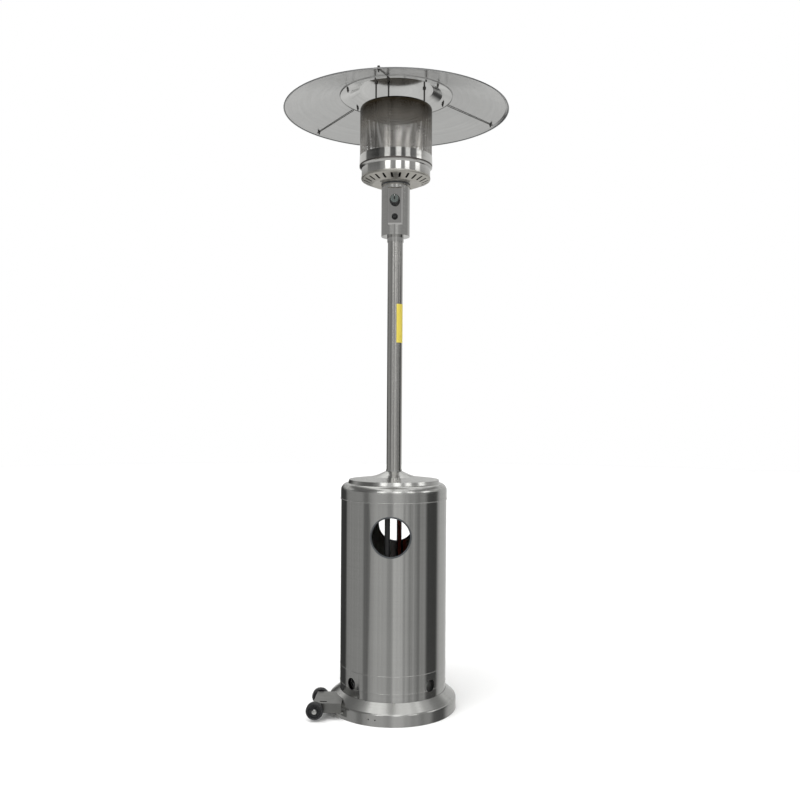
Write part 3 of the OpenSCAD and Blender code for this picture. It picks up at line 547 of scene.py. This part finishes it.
@dataclass
class Workshop:
    """Keeps each material once, and puts finished pieces on their bodies."""

    materials: dict[str, bpy.types.Material] = field(default_factory=dict)

    def material(self, finish: Metal | Coat) -> bpy.types.Material:
        """The material of a finish, made the first time it is asked for."""
        if finish.name not in self.materials:
            self.materials[finish.name] = finish.build()
        return self.materials[finish.name]

    def dress_node(self, name: str, finish: Metal | Coat) -> None:
        """Gives a CAD node a finish in all its material slots."""
        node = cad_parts[name]
        for slot in node.material_slots:
            slot.material = self.material(finish)
        log.info("CAD node %s: %s", name, finish.name)

    def mount(
        self, piece: bpy.types.Object, body: Body, finish: Metal | Coat, slot: str, *nodes: str
    ) -> bpy.types.Object:
        """Dresses a new piece and lets it ride on a body.

        Args:
            piece: The finished mesh object.
            body: The body it rides on.
            finish: Its finish.
            slot: The record's material slot; not used.
            nodes: The CAD nodes that it stands for.

        Returns:
            The piece.
        """
        dress(piece, self.material(finish))
        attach(piece, body.value)
        if nodes:
            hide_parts(*nodes)
        log.info("piece %s on %s: %d faces", piece.name, body.value, len(piece.data.polygons))
        return piece


# ------------------------------------------------------------- sub-assemblies


@dataclass
class EmitterScreen:
    """The perforated screen round the flames, with a rolled shoulder and a lapped seam."""

    radius: float = 0.1305
    low: float = 1.9565
    high: float = 2.168
    edge: float = 0.009
    across: int = 132
    rows: int = 38
    hole_share: float = 0.3
    thickness: float = 0.0008

    def wall(self) -> bpy.types.Object:
        """The perforated wall: six-sided cells with a hole each, laid flat and then rolled up."""
        girth = math.tau * self.radius
        pitch = girth / self.across
        side = pitch / math.sqrt(3)
        clear()
        bpy.ops.mesh.primitive_circle_add(
            vertices=6, radius=side, fill_type="NGON", rotation=(math.pi / 2, 0, 0)
        )
        piece = settle(named("emitter_screen_wall"))
        with editing(piece):
            bpy.ops.mesh.inset(thickness=side * self.hole_share)
            bpy.ops.mesh.delete(type="FACE")
        for offset, count in (
            ((pitch, 0, 0), self.across), ((pitch / 2, 0, side * 1.5), 2),
            ((0, 0, side * 3), self.rows // 2),
        ):
            array = piece.modifiers.new("array", "ARRAY")
            array.use_relative_offset = False
            array.use_constant_offset = True
            array.constant_offset_displace = offset
            array.count = count
            array.use_merge_vertices = False
        settle(piece)
        tidy(piece, pitch * 0.02)
        low_z = min(v.co.z for v in piece.data.vertices)
        high_z = max(v.co.z for v in piece.data.vertices)
        reach = (self.high - self.edge - self.low) / (high_z - low_z)
        for vertex in piece.data.vertices:
            turn = vertex.co.x / self.radius
            z = self.low + (vertex.co.z - low_z) * reach
            vertex.co = (self.radius * math.sin(turn), self.radius * math.cos(turn), z)
        tidy(piece, pitch * 0.02)
        solid = piece.modifiers.new("wall", "SOLIDIFY")
        solid.thickness = self.thickness
        solid.offset = -1.0
        return settle(piece)

    def shoulder(self) -> bpy.types.Object:
        """The rounded upper edge and the plain bands at both ends of the wall."""
        r, t = self.radius, self.thickness
        arc = [
            (
                r - self.edge + self.edge * math.cos(math.radians(a)),
                self.high - self.edge + self.edge * math.sin(math.radians(a)),
            )
            for a in range(0, 91, 15)
        ]
        outline = [
            (r + 0.0002, self.high - self.edge - 0.006), *[(x + 0.0002, z) for x, z in arc],
            (r - self.edge, self.high - t),
        ]
        outline += [(x - t, z - t) for x, z in reversed(arc[:-1])] + [
            (r - t, self.high - self.edge - 0.006)
        ]
        return turned("emitter_screen_shoulder", outline, 128)

    def build(self, shop: Workshop) -> None:
        """Builds and places the screen."""
        screen = united("emitter_screen_perforated", [self.wall(), self.shoulder()])
        shop.mount(smooth(screen, 25.0), Body.STAND, EMITTER, "emitter_steel", "emitter_screen")
        outline = (
            (self.radius - 0.001, 0), (self.radius + 0.0004, 0), (self.radius + 0.0004, 0.012),
            (self.radius - 0.001, 0.012),
        )
        seam = drawn("emitter_seam", [(r, x - 0.006, self.low + 0.028) for r, x in (*outline, outline[0])])
        with editing(seam):
            bpy.ops.mesh.edge_face_add()
            bpy.ops.mesh.extrude_region_move(
                TRANSFORM_OT_translate={"value": (0, 0, self.high - self.low - 0.04)}
            )
        seam.data.transform(Matrix.Rotation(math.radians(100), 4, "Z"))
        shop.mount(smooth(tidy(seam)), Body.STAND, EMITTER, "emitter_steel")


@dataclass
class ControlKnob:
    """The fluted gas knob with its raised pointer."""

    radius: float = 0.0185
    back_y: float = -0.0585
    front_y: float = -0.0855
    height: float = 1.82
    flutes: int = 18

    def build(self, shop: Workshop) -> None:
        """Builds the knob and its pointer line."""
        r, length = self.radius, self.back_y - self.front_y
        outline = [
            (0.0045, 0.0), (0.0045, length - 0.008), (r - 0.005, length - 0.008), (r - 0.005, 0.0),
            (r - 0.0008, 0.0), (r, 0.0008), (r, 0.005), (r - 0.0008, 0.006), (r - 0.0022, 0.0066),
            (r - 0.003, length - 0.0035), (r - 0.0045, length - 0.0012),
            (r - 0.0065, length - 0.0004), (r - 0.0085, length - 0.0012), (0.0, length - 0.0012),
        ]
        knob = turned("knob_skirt", outline, self.flutes * 4, closed=False)

        def fluted(face: bpy.types.MeshPolygon) -> bool:
            """Tells whether a face of the skirt is one of the grooves."""
            x, y, z = face.center
            turn = (math.atan2(y, x) + math.pi) / math.tau
            outer = 0.007 < z < length - 0.004 and math.hypot(x, y) > r - 0.004
            return outer and int(turn * self.flutes * 4) % 4 == 0

        pick(knob, fluted)
        with editing(knob, "KEEP"):
            bpy.ops.mesh.inset(thickness=0.0002, use_individual=True)
            bpy.ops.transform.shrink_fatten(value=-0.0009)
        clear()
        bpy.ops.mesh.primitive_cube_add(
            size=1.0, location=(0.0, 0.0062, length - 0.0012), scale=(0.0042, 0.021, 0.0044)
        )
        ridge = settle(named("knob_ridge"))
        bevel = ridge.modifiers.new("edge", "BEVEL")
        bevel.width = 0.0009
        bevel.segments = 3
        knob = united("control_knob_fluted", [tidy(knob), settle(ridge)])
        disc = [
            (0.0, length - 0.0014), (r - 0.0046, length - 0.0014), (r - 0.0042, length - 0.001),
            (r - 0.0042, length - 0.0004), (r - 0.0046, length - 0.0001), (0.0, length - 0.0001),
        ]
        face = turned("knob_lit_face_disc", disc, 64, False)
        clear()
        bpy.ops.mesh.primitive_cube_add(
            size=1.0, location=(0.0, 0.0115, length + 0.00095), scale=(0.0012, 0.008, 0.0004)
        )
        line = settle(named("knob_pointer"))
        edge = line.modifiers.new("edge", "BEVEL")
        edge.width = 0.00015
        settle(line)
        stand_up = Matrix.Translation((0, self.back_y, self.height)) @ Matrix.Rotation(math.pi / 2, 4, "X")
        for piece in (knob, line, face):
            piece.data.transform(stand_up)
        # The face disc is lightened as painted light on the knob's front.
        shop.mount(smooth(face, 30.0), Body.KNOB, KNOB_FACE_PAINTED_LIGHT, "knob_plastic")
        shop.mount(smooth(knob, 30.0), Body.KNOB, KNOB_PLASTIC, "knob_plastic", "control_knob")
        shop.mount(line, Body.KNOB, POINTER_PAINT, "knob_plastic")


@dataclass
class IgniterButton:
    """The igniter's button, with a dished face and a ring of fine grooves."""

    radius: float = 0.00725
    back_y: float = -0.043
    front_y: float = -0.0655
    height: float = 1.762

    def build(self, shop: Workshop) -> None:
        """Builds the button."""
        r, length = self.radius, self.back_y - self.front_y
        outline = [
            (0.0, 0.0), (r, 0.0), (r, length - 0.0032), (r - 0.0003, length - 0.0029), (r, length - 0.0026),
            (r, length - 0.0014), (r - 0.0004, length - 0.0005), (r - 0.0013, length),
            (r - 0.0026, length - 0.0003), (r - 0.0045, length - 0.0009), (0.0, length - 0.0011),
        ]
        button = turned("igniter_button_dished", outline, 48, closed=False)
        button.data.transform(
            Matrix.Translation((0, self.back_y, self.height)) @ Matrix.Rotation(math.pi / 2, 4, "X")
        )
        shop.mount(smooth(button, 40.0), Body.IGNITER, KNOB_PLASTIC, "knob_plastic", "igniter_button")


@dataclass
class HandHoleTrim:
    """The soft rubber edging round the two hand holes of the tank housing."""

    housing_radius: float = 0.191
    hole_radius: float = 0.0688
    height: float = 0.6343
    bead: float = 0.003
    steps: int = 96

    def build(self, shop: Workshop) -> None:
        """Builds both edgings, each with a butt joint at its lowest point."""
        for side, name in ((-1, "front"), (1, "rear")):
            points = []
            for k in range(self.steps + 1):
                turn = -math.pi / 2 + math.tau * (k + 0.06) / (self.steps + 0.12)
                x = self.hole_radius * math.cos(turn)
                y = side * (math.sqrt((self.housing_radius - 0.0005) ** 2 - x * x))
                points.append((x, y, self.height + self.hole_radius * math.sin(turn)))
            piece = drawn(f"hand_hole_edging_{name}", points)
            only(piece)
            bpy.ops.object.convert(target="CURVE")
            curve = bpy.context.active_object
            curve.data.bevel_depth = self.bead
            curve.data.bevel_resolution = 3
            curve.data.use_fill_caps = True
            bpy.ops.object.convert(target="MESH")
            piece = tidy(named(f"hand_hole_edging_{name}"))
            shop.mount(
                smooth(piece, 40.0), Body.HOUSING, TRIM_RUBBER, "trim_rubber", f"hand_hole_trim_{name}"
            )


@dataclass
class GasHose:
    """The gas hose, held all its way from the regulator to the valve."""

    radius: float = 0.006
    bend: float = 0.048
    start: Point = (0.095, 0.0, 0.440)
    run: tuple[float, float] = (0.0144, 0.1494)
    turn_z: float = 0.680
    top_z: float = 1.774

    def quarters(self, first: Sequence[float], second: Sequence[float], z: float) -> list[Point]:
        """Two quarter turns that carry the hose from one upright to another."""
        start, end = Vector(first), Vector(second)
        way, b = (end - start).normalized(), self.bend
        turns = [math.radians(a) for a in range(0, 91, 10)]
        out = [(*(start + way * b * (1 - math.cos(a))), z + b * math.sin(a)) for a in turns]
        return out + [(*(end - way * b * (1 - math.sin(a))), z + b * (2 - math.cos(a))) for a in turns]

    def build(self, shop: Workshop) -> None:
        """Builds the hose as one smooth tube."""
        route = [self.start, *self.quarters(self.start[:2], self.run, self.start[2] + 0.002)]
        route += [*self.quarters(self.run, (0.0, 0.0), self.turn_z - 0.002), (0.0, 0.0, self.top_z)]
        only(drawn("hose_line", route))
        bpy.ops.object.convert(target="CURVE")
        curve = bpy.context.active_object
        curve.data.bevel_depth = self.radius
        curve.data.bevel_resolution = 4
        curve.data.use_fill_caps = True
        bpy.ops.object.convert(target="MESH")
        piece = tidy(named("gas_hose_smooth"))
        shop.mount(smooth(piece, 50.0), Body.STAND, HOSE_RUBBER, "hose_rubber", "gas_hose")


@dataclass
class TransportWheel:
    """A moulded wheel with a round tread, a dished web and six ribs."""

    y: float
    body: Body
    name: str
    radius: float = 0.03
    width: float = 0.02
    bore: float = 0.00405
    tread_curve: float = 0.004
    x: float = -0.258
    z: float = 0.0365

    def build(self, shop: Workshop) -> None:
        """Builds the wheel on its axle's line."""
        r, half, bore, curve = self.radius, self.width / 2, self.bore, self.tread_curve
        tread = [
            (r - curve + curve * math.cos(angle), (half - curve) + curve * math.sin(angle))
            for angle in map(math.radians, range(0, 91, 15))
        ]
        upper = tread + [
            (r - 0.0055, half), (r - 0.0068, half - 0.0008), (r - 0.0072, 0.0035),
            (bore + 0.0072, 0.003), (bore + 0.0066, half - 0.0004), (bore + 0.0058, half + 0.0005),
            (bore, half + 0.0006),
        ]
        outline = upper[::-1] + [(a, -z) for a, z in upper]
        groove = [(r, 0.0012), (r - 0.0008, 0.0006), (r - 0.0008, -0.0006), (r, -0.0012)]
        middle = len(upper)
        outline = outline[:middle] + groove + outline[middle:]
        wheel = turned(f"{self.name}_rim", outline, 72)
        parts = [wheel]
        for k in range(6):
            clear()
            bpy.ops.mesh.primitive_cube_add(
                size=1.0, location=(0.0, (r + bore) / 2, 0.0), scale=(0.0022, r - bore - 0.012, 0.0135)
            )
            rib = settle(named("wheel_rib"))
            bevel = rib.modifiers.new("edge", "BEVEL")
            bevel.width = 0.0005
            settle(rib)
            rib.data.transform(Matrix.Rotation(math.tau * (k + 0.3) / 6, 4, "Z"))
            parts.append(rib)
        piece = united(f"{self.name}_moulded", parts)
        piece.data.transform(
            Matrix.Translation((self.x, self.y, self.z)) @ Matrix.Rotation(math.pi / 2, 4, "X")
        )
        shop.mount(smooth(piece, 35.0), self.body, WHEEL_PLASTIC, "wheel_plastic", self.name)


@dataclass
class ReflectorEdging:
    """The folded hem, darkened as painted shade along the rim, the ring round the centre plate, and dark
    strips under the panel seams, which are painted shade for the seams' shadow lines.
    """

    rim_radius: float = 0.4042
    rim_z: float = 2.1524
    hem: float = 0.0021
    inner: tuple[float, float] = (0.2035, 2.2058)
    outer: tuple[float, float] = (0.394, 2.1562)
    first_seam: float = -95.5

    def strip(self, turn: float) -> bpy.types.Object:
        """A dark strip with bevelled edges that follows the slope of the panels, as painted shade for a
        seam's shadow line.
        """
        (r0, z0), (r1, z1) = self.inner, self.outer
        length, slope = math.hypot(r1 - r0, z1 - z0), math.atan2(z0 - z1, r1 - r0)
        clear()
        bpy.ops.mesh.primitive_cube_add(size=1.0, scale=(length, 0.0032, 0.0016))
        piece = settle(named("seam_strip"))
        bevel = piece.modifiers.new("edge", "BEVEL")
        bevel.width = 0.0005
        bevel.segments = 2
        settle(piece)
        middle = Matrix.Translation(((r0 + r1) / 2, 0.0, (z0 + z1) / 2 - 0.0009))
        piece.data.transform(
            Matrix.Rotation(math.radians(turn), 4, "Z") @ middle @ Matrix.Rotation(slope, 4, "Y")
        )
        return piece

    def build(self, shop: Workshop) -> None:
        """Builds the hem, the ring and the three strips."""
        # The hem is darkened as painted shade for the rim's shadow line.
        shop.mount(
            bead("reflector_hem", self.rim_radius, self.rim_z, self.hem, 10), Body.STAND, HEM_PAINTED_SHADE,
            "reflector_aluminium",
        )
        r, z = self.inner
        shop.mount(
            bead("reflector_inner_ring", r, z, 0.0012, 10), Body.STAND, REFLECTOR, "reflector_aluminium"
        )
        strips = [self.strip(self.first_seam + 120 * k) for k in range(3)]
        # The strips' dark colour is painted shade for the shadow lines at the panel seams.
        shop.mount(smooth(united("reflector_seam_shadow_strips", strips)), Body.STAND, DARK_ZINC_AND_SEAM_SHADE, "dark_zinc")


@dataclass
class TankHousingDetail:
    """The rolled edges of the cap and the lapped, spot-welded seam down the shell."""

    radius: float = 0.191
    low: float = 0.066
    high: float = 0.744
    seam_turn: float = 58.0
    welds: int = 14
    # Radius, height and thickness of each rolled edge
    cap_edge: Point = (0.1922, 0.7508, 0.0013)
    foot: Point = (0.1912, 0.0618, 0.0011)

    def lap(self) -> bpy.types.Object:
        """The lapped strip, a few degrees of a turned band."""
        r0, r1 = self.radius - 0.0002, self.radius + 0.0007
        corners = ((r0, self.low), (r1, self.low + 0.0004), (r1, self.high - 0.0004), (r0, self.high))
        strip = drawn("shell_lap", [(r, 0.0, z) for r, z in (*corners, corners[0])])
        with editing(strip):
            bpy.ops.mesh.edge_face_add()
            bpy.ops.mesh.spin(steps=8, angle=math.radians(5), center=(0, 0, 0), axis=(0, 0, 1))
        strip = tidy(strip)
        strip.data.transform(Matrix.Rotation(math.radians(self.seam_turn - 2.5), 4, "Z"))
        return strip

    def weld(self, k: int) -> bpy.types.Object:
        """One shallow round spot weld on the strip."""
        clear()
        bpy.ops.mesh.primitive_uv_sphere_add(segments=14, ring_count=6, radius=0.0032)
        piece = settle(named("spot_weld"))
        z = self.low + 0.02 + (self.high - self.low - 0.04) * k / (self.welds - 1)
        place = Matrix.Translation((self.radius + 0.0006, 0.0, z)) @ Matrix.Diagonal((0.16, 1.0, 1.0, 1.0))
        piece.data.transform(Matrix.Rotation(math.radians(self.seam_turn), 4, "Z") @ place)
        return piece

    def build(self, shop: Workshop) -> None:
        """Builds the rolled edges and the seam."""
        cap_edge, foot = bead("cap_rolled_edge", *self.cap_edge), bead("shell_rolled_foot", *self.foot)
        shop.mount(cap_edge, Body.HOUSING, SATIN, "brushed_stainless")
        shop.mount(foot, Body.HOUSING, BRUSHED, "brushed_stainless")
        seam = united("shell_lap_seam", [self.lap(), *(self.weld(k) for k in range(self.welds))])
        shop.mount(smooth(seam, 40.0), Body.HOUSING, BRUSHED, "brushed_stainless")


@dataclass
class HeadShadowGasket:
    """A dark gasket between the control housing and the dish, put there as painted shade for the shadow gap
    at that joint.
    """

    inner: float = 0.0475
    outer: float = 0.0522
    low: float = 1.8846
    high: float = 1.8889

    def build(self, shop: Workshop) -> None:
        """Builds the gasket with softened edges."""
        soft = 0.0006
        outline = [
            (self.inner, self.low), (self.outer - soft, self.low), (self.outer, self.low + soft),
            (self.outer, self.high - soft), (self.outer - soft, self.high), (self.inner, self.high),
        ]
        # The gasket's dark rubber is painted shade for the gap under the dish.
        shop.mount(smooth(turned("head_shadow_gap_gasket", outline, 96)), Body.STAND, TRIM_RUBBER, "trim_rubber")


@dataclass
class BottleSeam:
    """The raised weld round the middle of the gas bottle."""

    radius: float = 0.155
    height: float = 0.183

    def build(self, shop: Workshop) -> None:
        """Builds the weld as a low, rippled band."""
        half, rise = 0.0042, 0.0012
        outline = [(self.radius - 0.0006, self.height - half)]
        outline += [
            (self.radius + rise * math.sin(math.pi * k / 6), self.height + half * (k / 3 - 1))
            for k in range(1, 6)
        ]
        outline += [(self.radius - 0.0006, self.height + half)]
        weld = turned("bottle_weld_band", outline, 180)
        for vertex in weld.data.vertices:
            turn = math.atan2(vertex.co.y, vertex.co.x)
            vertex.co.z += 0.0005 * math.cos(turn * 90)
        shop.mount(smooth(weld, 60.0), Body.STAND, BOTTLE_PAINT, "bottle_paint")


NODE_FINISHES: dict[str, Metal | Coat] = {
    "housing_shell": BRUSHED,
    **dict.fromkeys(("base_ring", "housing_cap"), SATIN),
    **dict.fromkeys(("lower_band", "upper_band", "control_housing", "post_collar", "axle_caps"), POLISHED),
    "burner_dish": DISH_STEEL,
    "control_panel": PANEL_STEEL,
    "post": SATIN_POST,
    "base_plate": BASE_PAINT,
    **dict.fromkeys(("leg_front", "leg_rear", "leg_side", "post_bracket", "tilt_switch"), FRAME_PAINT),
    **dict.fromkeys(
        ("frame_bolts", "bracket_bolts", "wheel_axle", "dish_screws", "valve_bracket", "pilot_burner"), ZINC
    ),
    **dict.fromkeys(("reflector_studs", "stud_nuts", "reflector_bolts"), DARK_ZINC_AND_SEAM_SHADE),
    "post_label": LABEL_FILM,
    **dict.fromkeys(("hose_nut", "igniter_body"), KNOB_PLASTIC),
    **dict.fromkeys(("gas_bottle", "bottle_foot_ring", "bottle_collar"), BOTTLE_PAINT),
    **dict.fromkeys(("bottle_valve", "gas_valve", "gas_pipe", "pilot_tube", "thermocouple"), BRASS),
    "regulator": ALLOY,
    "spark_electrode": CERAMIC,
    **dict.fromkeys(("burner_head", "burner_plate"), BURNER),
    "emitter_top": EMITTER,
    **dict.fromkeys(("reflector_panel_1", "reflector_panel_2", "reflector_panel_3"), REFLECTOR),
    "reflector_centre": REFLECTOR_CENTRE,
    "wheel_bracket": BRACKET,
    **dict.fromkeys(("valve_spindle", "push_collar"), ZINC),
    "valve_handwheel": HANDWHEEL_PLASTIC,
}


# --------------------------------------------------------------------- studio


@dataclass
class Studio:
    """A pale floor, soft lights, a plain surround and the camera."""

    camera_place: Point = (0.162, -3.083, 1.067)
    azimuth: float = 3.0
    roll: float = 0.36
    lens: float = 38.2
    shift: tuple[float, float] = (0.0069, 0.0138)
    # Direction from the camera's side in degrees, to the right, and brightness there
    surround: tuple[tuple[float, float], ...] = (
        (-180, 0.55), (-168, 0.5), (-163, 0.045), (-125, 0.045), (-119, 0.27), (-70, 0.29),
        (-66, 0.15), (-57, 0.13), (-53, 0.27), (-44, 0.4), (-15, 0.41), (-12, 0.29), (-3.5, 0.29),
        (0, 0.5), (19, 0.5), (23, 0.28), (28, 0.42), (37, 0.24), (43, 0.35), (50, 0.26), (56, 0.14),
        (60, 0.28), (72, 0.28), (78, 0.055), (106, 0.055), (114, 0.35), (122, 0.46), (150, 0.5),
        (165, 0.6), (180, 0.55),
    )
    # The same for the upper part of the surround, with its windows
    upper: tuple[tuple[float, float], ...] = (
        (-180, 0.7), (-112, 0.65), (-105, 0.14), (-58, 0.13), (-52, 0.25), (-37, 0.4), (-34, 2.6),
        (-20, 2.6), (-17, 0.4), (-2, 0.34), (2, 2.6), (15, 2.6), (18, 0.34), (29, 0.4), (32, 2.3),
        (44, 2.3), (47, 0.36), (67, 0.45), (70, 2.2), (84, 2.0), (90, 0.5), (110, 0.62), (180, 0.7),
    )
    # Ceiling strips: sideways slope and brightness there
    strips: tuple[tuple[float, float], ...] = (
        (-0.8, 0.14), (-0.6, 0.24), (-0.48, 0.32), (-0.42, 1.15), (-0.35, 1.1), (-0.32, 0.6),
        (-0.27, 1.1), (-0.12, 0.95), (-0.06, 0.38), (0.03, 0.38), (0.06, 1.15), (0.12, 0.85),
        (0.17, 1.1), (0.22, 0.45), (0.26, 0.95), (0.34, 0.85), (0.4, 0.36), (0.43, 0.4), (0.46, 1.1),
        (0.53, 1.0), (0.57, 0.34), (0.64, 0.3), (0.67, 0.6), (0.72, 0.55), (0.76, 0.2),
    )
    # How steep the view is where each field of the surround gives way to the next
    ceiling_fade: tuple[float, float] = (0.38, 0.6)
    ground_fade: tuple[float, float] = (-0.35, -0.6)
    window_fade: tuple[float, float] = (0.265, 0.285)
    floor_fade: tuple[float, float] = (0.12, 0.18)
    floor_glow: float = 0.29
    peak: float = 4.0
    ground_glow: float = 0.55
    # The bar across the windows: its height as steepness, half its width and how much it darkens
    window_bar: tuple[float, float, float] = (0.35, 0.02, 0.75)
    # Upright streaks over the walls: how dense, how much they vary and the least brightness
    streak_density: float = 0.35
    streak_spread: float = 1.1
    streak_floor: float = 0.45

    def aim_camera(self) -> None:
        """Makes the level camera at the viewing angle."""
        data = bpy.data.cameras.new("camera")
        data.sensor_width = 36.0
        data.lens = self.lens
        data.shift_x, data.shift_y = self.shift
        camera = bpy.data.objects.new("camera", data)
        camera.location = self.camera_place
        turn = Matrix.Rotation(math.radians(self.azimuth), 4, "Z") @ Matrix.Rotation(math.pi / 2, 4, "X")
        camera.rotation_euler = (turn @ Matrix.Rotation(math.radians(self.roll), 4, "Z")).to_euler()
        bpy.context.scene.collection.objects.link(camera)
        bpy.context.scene.camera = camera

    def light(
        self, name: str, place: Point, target: Point, size: tuple[float, float], watts: float
    ) -> None:
        """Adds one soft area light that shines on a point and is not mirrored."""
        data = bpy.data.lights.new(name, "AREA")
        data.shape = "RECTANGLE"
        data.size, data.size_y = size
        data.energy = watts
        lamp = bpy.data.objects.new(name, data)
        lamp.location = place
        lamp.rotation_euler = (Vector(target) - Vector(place)).to_track_quat("-Z", "Y").to_euler()
        lamp.visible_camera = False
        lamp.visible_glossy = False
        bpy.context.scene.collection.objects.link(lamp)

    def overhead(self, strength: float) -> None:
        """Adds an even, very soft light from above, a little from the front left."""
        data = bpy.data.lights.new("overhead", "SUN")
        data.energy = strength
        data.angle = math.radians(70)
        lamp = bpy.data.objects.new("overhead", data)
        lamp.rotation_euler = Vector((-0.25, -0.35, 1.0)).to_track_quat("Z", "Y").to_euler()
        lamp.visible_glossy = False
        bpy.context.scene.collection.objects.link(lamp)

    def paint_surround(self) -> None:
        """A white surround, which bare metal sees as a room with dark and light upright fields."""
        world = bpy.data.worlds.new("surround")
        bpy.context.scene.world = world
        world.use_nodes = True
        nodes = Nodes(world.node_tree)
        nodes.tree.nodes.clear()
        maths = nodes.maths

        def ramp(
            value: bpy.types.NodeSocket, stops: Sequence[tuple[float, float]], reach: float
        ) -> bpy.types.NodeSocket:
            """Brightness for a value between -reach and reach."""
            place = maths("DIVIDE", maths("ADD", value, reach), 2 * reach)
            greys = [((p + reach) / (2 * reach), (b / self.peak,) * 3) for p, b in stops]
            return maths("MULTIPLY", nodes.ramp(place, greys), self.peak)

        def blend(
            first: bpy.types.NodeSocket, second: object, span: tuple[float, float]
        ) -> bpy.types.NodeSocket:
            """Fades from one brightness to another while the view gets steeper."""
            share = nodes.span(z, *span, kind="SMOOTHSTEP")
            kept = maths("MULTIPLY", first, maths("SUBTRACT", 1.0, share))
            return maths("ADD", kept, maths("MULTIPLY", second, share))

        turn = nodes.node("ShaderNodeVectorRotate", rotation_type="Z_AXIS")
        turn.inputs["Angle"].default_value = -math.radians(self.azimuth)
        nodes.join(nodes.node("ShaderNodeTexCoord").outputs["Generated"], turn.inputs["Vector"])
        split = nodes.node("ShaderNodeSeparateXYZ")
        nodes.join(turn.outputs[0], split.inputs[0])
        x, y, z = split.outputs
        side = maths("MULTIPLY", maths("ARCTAN2", x, maths("MULTIPLY", y, -1.0)), 180 / math.pi)
        floor = nodes.span(z, *self.floor_fade, 0.0, self.floor_glow)
        walls = maths("MAXIMUM", ramp(side, self.surround, 180.0), floor)
        streaks = nodes.node("ShaderNodeTexNoise", noise_dimensions="1D")
        streaks.inputs["Scale"].default_value = self.streak_density
        streaks.inputs["Detail"].default_value = 3.0
        streaks.inputs["Roughness"].default_value = 0.7
        nodes.join(side, streaks.inputs["W"])
        spread = maths("MULTIPLY", streaks.outputs[0], self.streak_spread)
        walls = maths("MULTIPLY", walls, maths("ADD", spread, self.streak_floor))
        height, half_width, darkening = self.window_bar
        bar = maths("LESS_THAN", maths("ABSOLUTE", maths("SUBTRACT", z, height)), half_width)
        clear_share = maths("SUBTRACT", 1.0, maths("MULTIPLY", bar, darkening))
        panes = maths("MULTIPLY", ramp(side, self.upper, 180.0), clear_share)
        slope = maths("DIVIDE", x, maths("MAXIMUM", z, 0.05))
        room = blend(walls, panes, self.window_fade)
        room = blend(room, ramp(slope, self.strips, 0.8), self.ceiling_fade)
        room = blend(room, self.ground_glow, self.ground_fade)
        mirrored = nodes.node("ShaderNodeBackground")
        mirrored.inputs["Color"].default_value = (1.0, 1.0, 0.985, 1.0)
        nodes.join(room, mirrored.inputs["Strength"])
        plain = nodes.node("ShaderNodeBackground")
        plain.inputs["Color"].default_value = (*WHITE, 1.0)
        plain.inputs["Strength"].default_value = 1.0
        pair = nodes.node("ShaderNodeMixShader")
        nodes.join(nodes.node("ShaderNodeLightPath").outputs["Is Camera Ray"], pair.inputs[0])
        nodes.join(mirrored.outputs[0], pair.inputs[1])
        nodes.join(plain.outputs[0], pair.inputs[2])
        nodes.join(pair.outputs[0], nodes.node("ShaderNodeOutputWorld").inputs["Surface"])

    def lay_floor(self) -> None:
        """The plain pale floor."""
        clear()
        bpy.ops.mesh.primitive_circle_add(
            vertices=96, radius=14.0, fill_type="NGON", location=(0, 0, -0.0005)
        )
        floor = settle(named("floor"))
        graph = Graph("pale_floor")
        cloud = graph.noise(graph.place, 2.0, 3.0)
        graph.set(
            Base_Color=graph.mix(cloud, (0.93, 0.93, 0.93), (0.95, 0.95, 0.95)), Roughness=0.9,
            Specular_IOR_Level=0.1,
        )
        dress(floor, graph.material)
        floor.visible_glossy = False

    def build(self) -> None:
        """Sets up the whole studio."""
        self.aim_camera()
        self.paint_surround()
        self.lay_floor()
        self.overhead(2.3)
        self.light("left_front", (-2.8, -3.0, 2.6), (0, 0, 1.2), (1.6, 2.4), 40.0)
        self.light("right_front", (3.0, -2.6, 2.2), (0, 0, 1.0), (1.4, 2.2), 30.0)
        settings = bpy.context.scene.view_settings
        settings.view_transform = "Standard"


def main() -> None:
    """Builds the studio and each sub-assembly, and reports the pieces."""
    logging.basicConfig(level=logging.INFO, format="%(message)s")
    shop = Workshop()
    Studio().build()
    for name, finish in NODE_FINISHES.items():
        shop.dress_node(name, finish)
    EmitterScreen().build(shop)
    ControlKnob().build(shop)
    IgniterButton().build(shop)
    HandHoleTrim().build(shop)
    GasHose().build(shop)
    ReflectorEdging().build(shop)
    TankHousingDetail().build(shop)
    BottleSeam().build(shop)
    HeadShadowGasket().build(shop)
    TransportWheel(-0.188, Body.FRONT_WHEEL, "wheel_front").build(shop)
    TransportWheel(-0.036, Body.REAR_WHEEL, "wheel_rear").build(shop)


if __name__ == "__main__":
    main()
